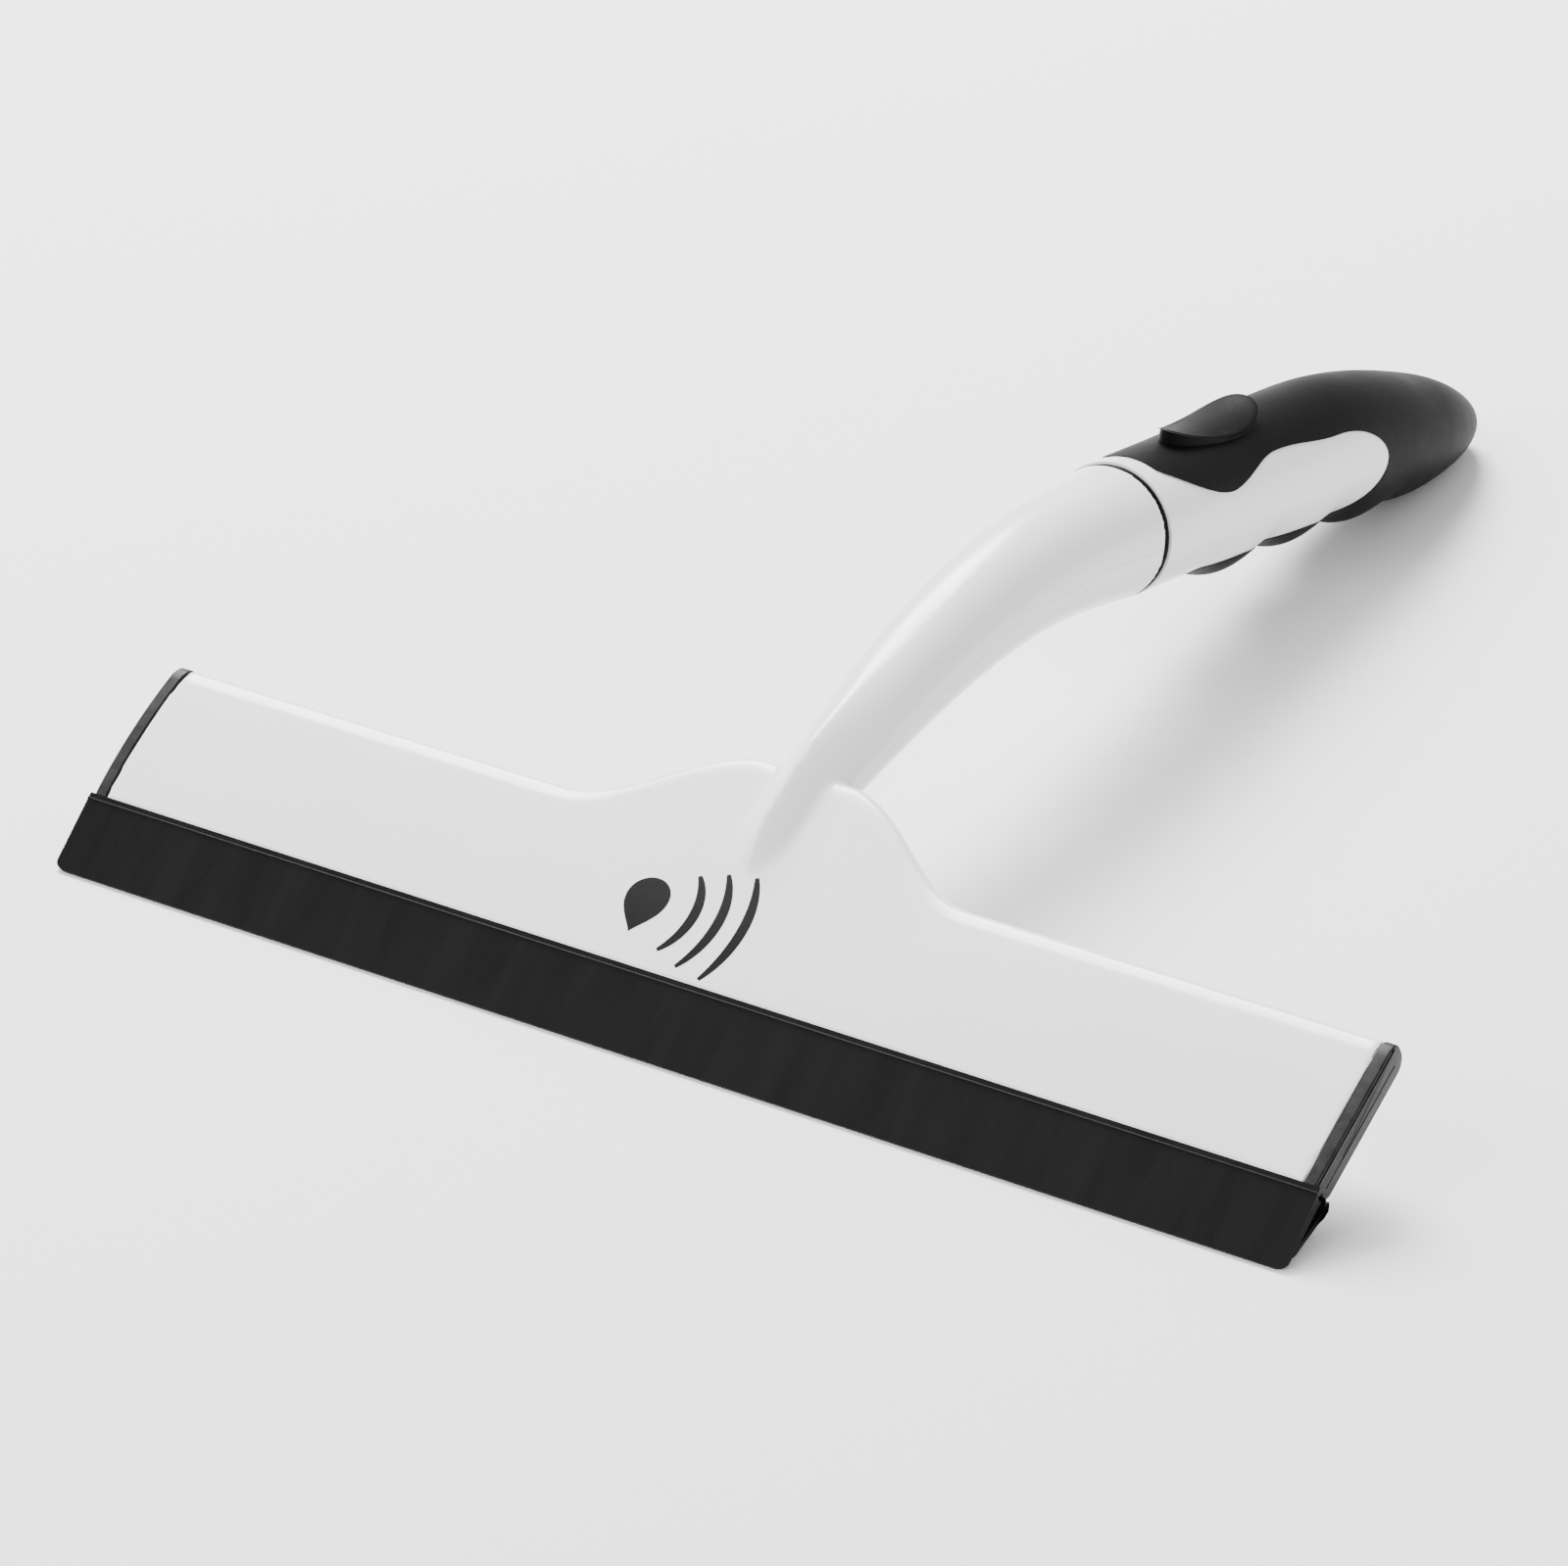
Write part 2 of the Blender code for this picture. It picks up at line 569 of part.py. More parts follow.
def make_screws(material):
    """The clamping screws of the head, one in the neck and one in the joint."""
    up = Vector((0, -math.sin(HEAD_SLOPE), math.cos(HEAD_SLOPE)))
    floor = -HEAD_THICKNESS + GAP / 2
    for number, place in enumerate(boss_positions(), 1):
        kind = "head_screw" if number <= HEAD_SCREW_COUNT else "wing_screw"
        count = number if number <= HEAD_SCREW_COUNT else number - HEAD_SCREW_COUNT
        base = head_point(place[0], place[1], floor)
        make_screw(f"{kind}_{count}", base, up, -1.3 * MM - floor, material)
    centre, _, normal = axis_frame(NECK_SCREW_BACK)
    depth = neck_radii(NECK_SCREW_BACK)[1] - NECK_WALL
    length = depth + neck_radii(NECK_SCREW_BACK)[1] - NECK_WALL - 2 * MM
    make_screw("neck_screw", centre - normal * depth, normal, length, material)
    back = JOINT_BACK - JOINT_SCREW_INSET
    centre, _, normal = axis_frame(back)
    depth = neck_radii(back)[1] - GAP / 2
    make_screw("joint_screw", centre - normal * depth, normal, NECK_WALL + SPIGOT_WALL + 1.2 * MM,
               material)


def spigot_radius():
    return JOINT_RADIUS - NECK_WALL - 2 * GAP


def make_ring(material):
    """Soft ring that seals the joint between neck and grip."""
    centre, tangent, _ = axis_frame(JOINT_BACK)
    turn = tangent.to_track_quat("Z", "Y").to_matrix()
    outer, inner = JOINT_RADIUS - RING_INSET, spigot_radius() + GAP
    half = RING_WIDTH / 2 - GAP / 2
    crown = [(outer - 0.3 * MM, -half), (outer, -half * 0.4), (outer, half * 0.4),
             (outer - 0.3 * MM, half), (inner, half), (inner, -half)]
    rings = []
    for i in range(32):
        a = 2 * math.pi * i / 32
        rings.append([centre + turn @ Vector((r * math.cos(a), r * math.sin(a), z))
                      for r, z in crown])
    mesh_data = bmesh.new()
    rows = [[mesh_data.verts.new(point) for point in ring] for ring in rings]
    for i, row in enumerate(rows):
        following = rows[(i + 1) % len(rows)]
        for k in range(len(crown)):
            m = (k + 1) % len(crown)
            mesh_data.faces.new((row[k], row[m], following[m], following[k]))
    return add_object("joint_ring", mesh_data, material)


def butt_end():
    """Where the last ring stands, so that its leaning rim ends the overall length."""
    return OVERALL_LENGTH - BUTT_TIP * math.sin(-BUTT_ANGLE)


def grip_radii(back):
    """Half width and the rises above and below the axis, of the grip's outer surface."""
    run = (back - JOINT_BACK) / (butt_end() - JOINT_BACK)
    palm = PALM_SWELL * hump(JOINT_BACK + PALM_BACK, PALM_HALF_LENGTH, back)
    heel = HEEL_FLARE * hump(BUTT_BACK - HEEL_INSET, HEEL_HALF_LENGTH, back)
    rounding = max(0.0, (run - BUTT_ROUNDING) / (1 - BUTT_ROUNDING))
    close = math.sqrt(max(0.0, 1 - rounding ** BUTT_BLUNTNESS))
    first = JOINT_BACK + FIRST_FINGER
    finger = 0.0
    for i in range(FINGER_COUNT):
        finger += FINGER_DEPTH * hump(first + i * FINGER_PITCH, FINGER_PITCH / 2, back)
    flat = BUTT_FLATTENING * blend(JOINT_BACK + PALM_BACK - 10 * MM, BUTT_BACK - 10 * MM, back)
    return ((WAIST_RADIUS + 0.4 * palm) * close, (WAIST_RADIUS + palm - flat) * close,
            (WAIST_RADIUS - 0.4 * MM + finger + heel) * close)


def grip_ring(back, inset, details):
    """One ring of the grip; details adds the thumb rest on top."""
    centre, _, normal = axis_frame(back)
    wide, above, below = (max(BUTT_TIP, r - inset) for r in grip_radii(back))
    thumb = THUMB_RISE * hump(THUMB_BACK, THUMB_HALF_LENGTH, back) if details else 0.0
    ring = []
    for i in range(SIDES):
        a = 2 * math.pi * i / SIDES
        rise = above + thumb * max(0.0, math.sin(a)) ** 4 if math.sin(a) > 0 else below
        ring.append(centre + Vector((wide * math.cos(a), 0, 0)) + normal * (rise * math.sin(a)))
    return ring


def grip_stations(start, end, count):
    """Evenly spaced distances of the rings of a body."""
    return [start + (end - start) * i / count for i in range(count + 1)]


def grip_front():
    return JOINT_BACK + RING_WIDTH / 2 + GAP / 2


def grip_body(name, inset, stations, material=None, details=False):
    """A closed body along the grip, a constant depth under its outer surface."""
    return loft(name, [grip_ring(back, inset, details) for back in stations], material)


def core_stations():
    """Rings of the core under the cover; the cover's inside repeats them."""
    return grip_stations(grip_front() + 2 * GAP, OVERALL_LENGTH - CORE_SETBACK, 16)


def window_prism(name, shrink):
    """The side window in which the core lies bare, drawn right through the grip."""
    stations = grip_stations(grip_front() - 4 * MM, WINDOW_BACK - shrink, 16)
    upper, lower = [], []
    for back in stations:
        centre, _, normal = axis_frame(back)
        entry = max(0.0, (back - WINDOW_BACK + WINDOW_LOBE + shrink) / WINDOW_LOBE)
        lobe = max(0.02, math.sqrt(max(0.0, 1 - entry ** 2)))
        dip = WINDOW_DIP * hump(THUMB_BACK - 5 * MM, 22 * MM, back)
        shoulder = WINDOW_SHOULDER * blend(THUMB_BACK - 4 * MM, JOINT_BACK, back)
        top = (WINDOW_RISE + shoulder - dip) * lobe - shrink
        bottom = WINDOW_DROP * lobe - shrink
        upper.append(centre + normal * top)
        lower.append(centre - normal * bottom)
    outline = upper + lower[::-1]
    rings = [[Vector((x, p.y, p.z)) for p in outline] for x in (-FAR, FAR)]
    return loft(name, rings)


def make_grip_core(material):
    """Hard core of the grip: bare side panels, and a hollow spigot that plugs into the neck."""
    core = grip_body("grip_core", OVERMOULD + GAP / 2, core_stations(), material)
    panels = grip_body("panels", 0.0, grip_stations(grip_front(), WINDOW_BACK + 4 * MM, 16))
    combine(panels, window_prism("window", GAP / 2), "INTERSECT")
    combine(core, panels, "UNION")
    centre, tangent, _ = axis_frame(JOINT_BACK)
    start = centre - tangent * SPIGOT_LENGTH
    spigot = [(0.0, spigot_radius() - 0.6 * MM), (MM, spigot_radius()),
              (SPIGOT_LENGTH + 4 * MM, spigot_radius())]
    combine(core, rod("spigot", start, tangent, spigot, SIDES), "UNION")
    hollow = grip_body("hollow", OVERMOULD + CORE_WALL,
                       grip_stations(JOINT_BACK + 3 * MM, OVERALL_LENGTH - 2 * CORE_SETBACK, 8))
    combine(core, hollow, "DIFFERENCE")
    bore = [(-MM, spigot_radius() - SPIGOT_WALL), (SPIGOT_LENGTH + 8 * MM,
                                                   spigot_radius() - SPIGOT_WALL)]
    combine(core, rod("bore", start, tangent, bore, SIDES), "DIFFERENCE")
    back = JOINT_BACK - JOINT_SCREW_INSET
    combine(core, neck_boss(back, -FAR, 0.0, SCREW_RADIUS + GAP), "DIFFERENCE")
    return core


def make_overmould(material):
    """Soft cover: thumb rest, palm, finger strip, and a butt with a small flat to stand on."""
    cover = grip_body("grip_cover", 0.0, grip_stations(grip_front(), butt_end(), 40), material,
                      details=True)
    space = core_stations()
    space = [grip_front() - MM] + space + [space[-1] + GAP]
    combine(cover, grip_body("core_space", OVERMOULD - GAP / 2, space), "DIFFERENCE")
    combine(cover, window_prism("window", -GAP / 2), "DIFFERENCE")
    end = OVERALL_LENGTH
    corners = [(-FAR, 0.0), (FAR, 0.0), (FAR, end), (-FAR, end)]
    table = loft("table", [[Vector((x, y, z)) for x, y in corners] for z in (-FAR, 0.0)])
    return combine(cover, table, "DIFFERENCE")


def clear_scene():
    for old in list(bpy.data.objects):
        bpy.data.objects.remove(old)


def main():
    clear_scene()
    white = new_material("white_plastic", (0.86, 0.86, 0.86), 0.22)
    trim = new_material("black_plastic", (0.02, 0.02, 0.02), 0.4)
    rubber = new_material("black_rubber", (0.018, 0.018, 0.018), 0.6)
    soft = new_material("soft_grip_rubber", (0.022, 0.022, 0.022), 0.55)
    steel = new_material("zinc_plated_steel", (0.6, 0.6, 0.6), 0.35, 1.0)

    make_upper_shell(white)
    make_lower_shell(white)
    make_rail(trim)
    upper = blade_profile(UPPER_AXIS, UPPER_DROP, upper_top(), -upper_root_low()[1], UPPER_REACH,
                          UPPER_EDGE)
    make_blade("upper_blade", UPPER_AXIS, UPPER_DROP, upper, BLADE_LENGTH / 2, rubber)
    angle, reach = lower_blade_angle()
    lower = blade_profile(LOWER_AXIS, angle, lower_top(), 0.74 * shoulder_radius(), reach,
                          LOWER_EDGE)
    make_blade("lower_blade", LOWER_AXIS, angle, lower, BLADE_LENGTH / 2 + LOWER_OVERHANG, rubber)
    make_end_cap("left_end_cap", -1, trim)
    make_end_cap("right_end_cap", 1, trim)
    make_screws(steel)
    make_ring(soft)
    make_grip_core(white)
    make_overmould(soft)


main()
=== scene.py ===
"""Window cleaning squeegee: finished shells, rubber blades, soft grip and studio round its frame.

Metres. +X runs along the head, -Y is the blade side, +Z is up. Head pieces are modelled in the
head's own axes (x along it, u back from the plate's front border, v square on the plate) and
are turned into place at the end. "back" is a distance behind the blade's edge.
"""
import json
import math

import bmesh
import bpy
from mathutils import Matrix, Vector


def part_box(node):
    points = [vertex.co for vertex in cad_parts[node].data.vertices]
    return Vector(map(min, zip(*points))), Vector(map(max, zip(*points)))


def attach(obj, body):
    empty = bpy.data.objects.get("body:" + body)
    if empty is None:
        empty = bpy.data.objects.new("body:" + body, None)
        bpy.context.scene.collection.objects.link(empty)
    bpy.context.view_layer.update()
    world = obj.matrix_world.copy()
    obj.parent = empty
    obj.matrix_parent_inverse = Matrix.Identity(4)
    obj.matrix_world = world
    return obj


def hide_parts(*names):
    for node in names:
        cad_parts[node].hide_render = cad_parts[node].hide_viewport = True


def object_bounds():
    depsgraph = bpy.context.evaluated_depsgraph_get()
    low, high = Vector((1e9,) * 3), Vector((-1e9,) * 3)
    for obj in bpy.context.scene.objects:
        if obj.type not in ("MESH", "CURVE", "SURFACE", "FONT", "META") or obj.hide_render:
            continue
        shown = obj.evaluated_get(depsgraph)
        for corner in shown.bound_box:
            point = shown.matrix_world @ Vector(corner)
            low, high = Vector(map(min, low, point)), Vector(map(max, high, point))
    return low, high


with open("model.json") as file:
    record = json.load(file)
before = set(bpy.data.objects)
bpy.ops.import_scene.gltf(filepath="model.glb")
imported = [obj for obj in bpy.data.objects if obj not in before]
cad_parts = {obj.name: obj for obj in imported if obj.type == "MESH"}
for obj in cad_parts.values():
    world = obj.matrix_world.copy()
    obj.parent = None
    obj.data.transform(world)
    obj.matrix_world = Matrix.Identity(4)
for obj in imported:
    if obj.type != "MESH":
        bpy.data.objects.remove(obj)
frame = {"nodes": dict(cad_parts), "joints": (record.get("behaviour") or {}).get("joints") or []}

bl_info = {
    "name": "Window squeegee",
    "version": (1, 0, 0),
    "blender": (4, 5, 0),
    "location": "3D View > Sidebar > Squeegee",
    "description": "Builds the finished pieces of a window cleaning squeegee",
    "category": "Object",
}

MM = 0.001
BODY = "squeegee"
CAD_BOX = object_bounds()
JOINTS = {joint["name"]: joint for joint in frame["joints"]}
UPPER_BEAD = Vector(JOINTS["upper_blade_flex"]["pos_m"])
LOWER_BEAD = Vector(JOINTS["lower_blade_flex"]["pos_m"])
EDGE_Y = CAD_BOX[0].y
LENGTH = CAD_BOX[1].y - EDGE_Y
SLOPE = math.radians(29.1)
ALONG = Vector((0.0, math.cos(SLOPE), math.sin(SLOPE)))
UPRIGHT = Vector((0.0, -math.sin(SLOPE), math.cos(SLOPE)))
BEAD_BACK = 1.2 * MM            # axis of the upper bead behind the plate's front border
SEAT_PLAY = 0.3 * MM            # gap round the screw heads in their seats
UPPER_ROOT = 0.45               # depths of the blades' roots under their beads and height of
LOWER_ROOT = 0.74               # the lower blade's face, as shares of the shoulder's radius
LOWER_FACE = 0.36


def mm(name, description, default):
    """A length property, given in millimetres."""
    return bpy.props.FloatProperty(name=name, description=description, default=default * MM,
                                   subtype="DISTANCE", unit="LENGTH", precision=5)


def degrees(name, description, default):
    """An angle property, given in degrees."""
    return bpy.props.FloatProperty(name=name, description=description, subtype="ANGLE",
                                   default=math.radians(default), unit="ROTATION")


def linear(hex_value):
    """An sRGB hex colour as linear red, green, blue and alpha."""
    parts = [int(hex_value[i:i + 2], 16) / 255 for i in (1, 3, 5)]
    return tuple(c / 12.92 if c <= 0.04045 else ((c + 0.055) / 1.055) ** 2.4 for c in parts) + (1,)


def colour(name, description, hex_value):
    """A colour property, given as an sRGB hex colour."""
    return bpy.props.FloatVectorProperty(name=name, description=description, size=4, min=0, max=1,
                                         default=linear(hex_value), subtype="COLOR")


class SqueegeeHead(bpy.types.PropertyGroup):
    plate_depth: mm("Plate depth", "Front border to the straight back edge", 31.4)
    skin: mm("Skin", "Wall of the shells and radius of their lips", 1.8)
    split: mm("Split depth", "Parting of the shells below the top face", 4.4)
    thickness: mm("Thickness", "Depth of the whole head", 6.2)
    camber: mm("Camber", "Rise of the plate's middle over its borders", 0.8)
    bow: mm("End bow", "How far the ends bulge outwards in plan", 0.45)
    roll: mm("Back roll", "Radius of the rolled back edge", 2.6)
    under_roll: mm("Under roll", "Radius of the lower back edge", 1.3)
    wing_reach: mm("Wing reach", "How far the middle runs back under the neck", 16.8)
    wing_inner: mm("Wing tip", "Half width of the wing at its tip", 8.0)
    wing_outer: mm("Wing root", "Half width of the wing at the back edge", 42.0)
    cap_width: mm("Cap width", "Width of the end trims", 2.3)
    cap_groove: mm("Cap groove", "Depth of the grooves along the end trims", 0.9)
    screw_head: mm("Screw head", "Radius of the screw heads", 2.3)
    sink_depth: mm("Sink depth", "Depth of the sink marks over the bosses", 0.05)


class SqueegeeBlades(bpy.types.PropertyGroup):
    bead: mm("Bead", "Radius of the round bead", 0.95)
    neck: mm("Neck", "Rubber between bead and blade", 0.8)
    upper_drop: degrees("Upper drop", "How far the upper blade points below the plate", 11.2)
    upper_reach: mm("Upper reach", "Bead axis to the upper edge", 15.6)
    upper_edge: mm("Upper edge", "Thickness of the upper edge", 0.9)
    lower_setback: mm("Lower setback", "Lower edge behind the upper edge", 2.6)
    lower_gap: mm("Edge gap", "Free gap between the two edges", 0.45)
    lower_edge: mm("Lower edge", "Thickness of the lower edge", 0.8)
    corner: mm("Corner", "Radius of the blades' front corners", 2.4)
    ridge: mm("Ridge", "Height of the moulded line along the border", 0.22)
    ridge_back: mm("Ridge place", "Moulded line in front of the bead", 0.3)


class SqueegeeNeck(bpy.types.PropertyGroup):
    root_radius: mm("Root radius", "Radius where the neck leaves the wing", 7.3)
    joint_radius: mm("Joint radius", "Radius at the joint", 12.7)
    toe_width: mm("Toe width", "Half width of the rounded toe on the plate", 5.2)
    toe_rise: mm("Toe rise", "Extra height of the crest over the plate", 1.3)
    fillet: mm("Fillet", "Reach of the fillet between neck and plate", 2.6)
    end_radius: mm("End radius", "Rounded edge at the joint", 0.5)
    ring_width: mm("Ring width", "Width of the soft ring in the joint", 1.2)
    ring_inset: mm("Ring inset", "Ring below the surface of the neck", 0.12)


class SqueegeeGrip(bpy.types.PropertyGroup):
    waist: mm("Waist radius", "Radius of the grip behind the joint", 13.0)
    palm: mm("Palm swell", "Rise of the palm", 1.0)
    heel: mm("Heel flare", "Swell under the butt", 1.6)
    finger_pitch: mm("Finger pitch", "Distance between the finger swells", 25.4)
    finger_depth: mm("Finger depth", "Height of the finger swells", 2.9)
    first_finger: mm("First finger", "Joint to the first finger swell", 34.0)
    thumb_back: mm("Thumb rest", "Middle of the thumb rest behind the joint", 32.2)
    thumb_length: mm("Thumb length", "Half length of the thumb rest", 14.6)
    thumb_width: mm("Thumb width", "Half width of the thumb rest", 7.6)
    thumb_rear: mm("Thumb rear", "Height of the rim at the rear of the thumb rest", 3.3)
    thumb_front: mm("Thumb tip", "Height of the lifted tip at the front", 3.0)
    thumb_middle: mm("Thumb middle", "Height of the scooped middle", 1.5)
    collar: mm("Collar", "Bare collar of the core behind the joint", 4.6)
    panel_rise: mm("Panel rise", "Top edge of the side panels above the axis", 7.8)
    panel_drop: mm("Panel drop", "Lower edge of the side panels below the axis", 10.7)
    cover_proud: mm("Cover step", "Soft cover above the side panels", 0.2)


class SqueegeeFinish(bpy.types.PropertyGroup):
    abs_colour: colour("White plastic", "Moulded white ABS", "#F1F1F0")
    trim_colour: colour("Black trim", "Moulded black plastic", "#0E0E0E")
    blade_colour: colour("Blade rubber", "Moulded black rubber", "#070707")
    grip_colour: colour("Grip rubber", "Soft black elastomer", "#080808")
    ink_colour: colour("Ink", "Pad printed black ink", "#080808")
    zinc_colour: colour("Zinc", "Zinc plated steel", "#B8BABD")
    floor_colour: colour("Floor", "Pale studio floor", "#FAFAFA")
    abs_roughness: bpy.props.FloatProperty(name="White gloss", default=0.24, min=0, max=1,
                                           description="Roughness of the white plastic")
    grain: mm("Rubber grain", "Size of the spark-eroded grain on the grip", 0.5)
    streak: mm("Blade streak", "Spacing of the flow streaks along the blades", 6.0)


def settings(name):
    """The scene's settings of one group."""
    return getattr(bpy.context.scene, "squeegee_" + name)


# Shapes of the head and of the handle

def head_matrix():
    """Turns (x, u, v) of the head into the row frame."""
    skin = settings("head").skin
    turn = Matrix((Vector((1, 0, 0)), ALONG, UPRIGHT)).transposed().to_4x4()
    corner = UPPER_BEAD - ALONG * bead_place(0).x + UPRIGHT * skin
    return Matrix.Translation(corner) @ turn


def bead_place(number):
    """(u, v) of the upper or lower bead in the head's axes."""
    head = settings("head")
    if number == 0:
        return Vector((BEAD_BACK, -head.skin))
    step = LOWER_BEAD - UPPER_BEAD
    return Vector((BEAD_BACK + step.dot(ALONG), -head.skin + step.dot(UPRIGHT)))


def to_head(point):
    """A point of the row frame in the head's axes."""
    return head_matrix().inverted() @ point


def smooth_step(low, high, value):
    """0 at low, 1 at high, smooth between; low may be the larger."""
    t = max(0.0, min(1.0, (value - low) / (high - low)))
    return t * t * (3 - 2 * t)


def hump(middle, half, value):
    """A smooth bump of height 1, half wide each way."""
    return 0.5 + 0.5 * math.cos(math.pi * min(1.0, abs(value - middle) / half))


def follow(points, t):
    """The point at share t, 0 to 1, of a list of points."""
    place = max(0.0, min(1.0, t)) * (len(points) - 1)
    first = min(int(place), len(points) - 2)
    share = place - first
    return points[first] * (1 - share) + points[first + 1] * share


def arc(centre, radius, start, end, steps):
    """Points on an arc, from start to end in degrees."""
    angles = [math.radians(start + (end - start) * i / steps) for i in range(steps + 1)]
    return [Vector((centre[0] + radius * math.cos(a), centre[1] + radius * math.sin(a)))
            for a in angles]


def span(start, end, steps):
    """Evenly spaced points from start up to, and without, end."""
    start, end = Vector(start), Vector(end)
    return [start.lerp(end, i / steps) for i in range(steps)]


def shell_half():
    """Half the length of the shells, which is that of the rail between them."""
    low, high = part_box("blade_rail")
    return (high.x - low.x) / 2


def back_edge(x):
    """u of the plate's back edge, with the wing in the middle."""
    head = settings("head")
    inside = 1 - (abs(x) - head.wing_inner) / (head.wing_outer - head.wing_inner)
    inside = max(0.0, min(1.0, inside))
    return head.plate_depth + head.wing_reach * (0.5 - 0.5 * math.cos(math.pi * inside))


def plate_top(x, u):
    """v of the cambered top face."""
    head = settings("head")
    middle = head.plate_depth / 2
    reach = middle if u < middle else back_edge(x) - middle
    return head.camber * max(0.0, 1 - ((u - middle) / reach) ** 2)


def screw_places():
    """(x, u) of the six screws along the head and the two in the wing."""
    places = []
    for node in sorted(name for name in frame["nodes"] if "_screw_" in name):
        low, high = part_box(node)
        middle = to_head((low + high) / 2)
        places.append((node, middle.x, middle.y))
    return places


AXIS_KNOTS = (                  # behind the blade's edge, above the table, slope in degrees
    (36.5, 23.4, 38.0),
    (55.0, 30.1, 15.5),
    (119.0, 41.4, 0.0),
    (156.0, 36.8, -11.0),
    (280.0, 8.8, -19.5),
)
TOE_BACK, ROOT_BACK, CREST_BACK, JOINT_BACK, BUTT_BACK = (knot[0] * MM for knot in AXIS_KNOTS)


def axis_frame(back):
    """Centre, tangent and upward normal of the handle's axis."""
    knots = [(b * MM, h * MM, math.radians(a)) for b, h, a in AXIS_KNOTS]
    pair = 0
    while pair < len(knots) - 2 and back > knots[pair + 1][0]:
        pair += 1
    (b0, h0, a0), (b1, h1, a1) = knots[pair:pair + 2]
    held = min(back, BUTT_BACK)
    t, run = (held - b0) / (b1 - b0), b1 - b0
    m0, m1 = math.tan(a0) * run, math.tan(a1) * run
    height = ((2 * t**3 - 3 * t**2 + 1) * h0 + (t**3 - 2 * t**2 + t) * m0
              + (3 * t**2 - 2 * t**3) * h1 + (t**3 - t**2) * m1)
    rise = ((6 * t**2 - 6 * t) * h0 + (3 * t**2 - 4 * t + 1) * m0
            + (6 * t - 6 * t**2) * h1 + (3 * t**2 - 2 * t) * m1) / run
    tangent = Vector((0, 1, rise)).normalized()
    centre = Vector((0, EDGE_Y + back, height + (back - held) * rise))
    return centre, tangent, Vector((0, -tangent.z, tangent.y))


# Mesh helpers

def finish_piece(name, mesh_data, material, replaced=(), body=BODY, angle=35):
    """Make a piece of a bmesh, shade it and hand it to the frame."""
    mesh = bpy.data.meshes.new(name)
    mesh_data.to_mesh(mesh)
    mesh_data.free()
    mesh.shade_smooth()
    mesh.set_sharp_from_angle(angle=math.radians(angle))
    mesh.materials.append(material)
    piece = bpy.data.objects.new(name, mesh)
    bpy.context.scene.collection.objects.link(piece)
    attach(piece, body)
    if replaced:
        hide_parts(*replaced)
    return piece


def rolled_grid(columns, rows, place):
    """A closed body from a grid: place(s, t) puts the point s along and t round the piece."""
    mesh_data = bmesh.new()
    bmesh.ops.create_grid(mesh_data, x_segments=columns, y_segments=rows, size=0.5)
    for vert in mesh_data.verts:
        vert.co = place(vert.co.x + 0.5, vert.co.y + 0.5)
    bmesh.ops.remove_doubles(mesh_data, verts=mesh_data.verts, dist=0.001 * MM)
    bmesh.ops.holes_fill(mesh_data, edges=mesh_data.edges)
    bmesh.ops.recalc_face_normals(mesh_data, faces=mesh_data.faces)
    return mesh_data


def drawn_profile(profile, stations):
    """A (u, v) outline drawn out along the head's x stations."""
    mesh_data = bmesh.new()
    face = mesh_data.faces.new([mesh_data.verts.new((stations[0], p[0], p[1])) for p in profile])
    for start, end in zip(stations, stations[1:]):
        grown = bmesh.ops.extrude_face_region(mesh_data, geom=[face])["geom"]
        moved = [item for item in grown if isinstance(item, bmesh.types.BMVert)]
        bmesh.ops.translate(mesh_data, verts=moved, vec=(end - start, 0, 0))
        face = next(item for item in grown if isinstance(item, bmesh.types.BMFace))
    bmesh.ops.recalc_face_normals(mesh_data, faces=mesh_data.faces)
    return mesh_data


def scratch_object(mesh_data):
    """A passing object, for a modifier or as a tool."""
    mesh = bpy.data.meshes.new("scratch")
    mesh_data.to_mesh(mesh)
    mesh_data.free()
    piece = bpy.data.objects.new("scratch", mesh)
    bpy.context.scene.collection.objects.link(piece)
    return piece


def modified(mesh_data, kind, **values):
    """The bmesh after one modifier."""
    piece = scratch_object(mesh_data)
    modifier = piece.modifiers.new("change", kind)
    for name, value in values.items():
        setattr(modifier, name, value)
    graph = bpy.context.evaluated_depsgraph_get()
    result = bmesh.new()
    result.from_object(piece, graph)
    bpy.data.objects.remove(piece)
    return result


def combined(mesh_data, other, operation):
    """The bmesh after an exact Boolean with another one, which stays as it was."""
    tool = scratch_object(other.copy())
    result = modified(mesh_data, "BOOLEAN", operation=operation, object=tool, solver="EXACT")
    bpy.data.objects.remove(tool)
    return result


def joined(first, second):
    """Both bmeshes in one, as separate bodies."""
    mesh = bpy.data.meshes.new("joining")
    second.to_mesh(mesh)
    second.free()
    first.from_mesh(mesh)
    bpy.data.meshes.remove(mesh)
    return first


# Materials

def add_node(tree, kind, links=(), **values):
    """Add a node; values set its properties or sockets, links join (socket, node, output)."""
    node = tree.nodes.new("ShaderNode" + kind)
    for name, value in values.items():
        socket = node.inputs.get(name.replace("_", " "))
        if socket is not None:
            socket.default_value = value
        else:
            setattr(node, name, value)
    for socket, source, output in links:
        tree.links.new(source.outputs[output], node.inputs[socket])
    return node


def new_material(name, base, **values):
    """A material whose shader has its plain values; returns it with its tree and shader."""
    material = bpy.data.materials.new(name)
    material.use_nodes = True
    material.diffuse_color = base
    tree = material.node_tree
    shader = tree.nodes["Principled BSDF"]
    shader.inputs["Base Color"].default_value = base
    for key, value in values.items():
        shader.inputs[key.replace("_", " ")].default_value = value
    return material, tree, shader


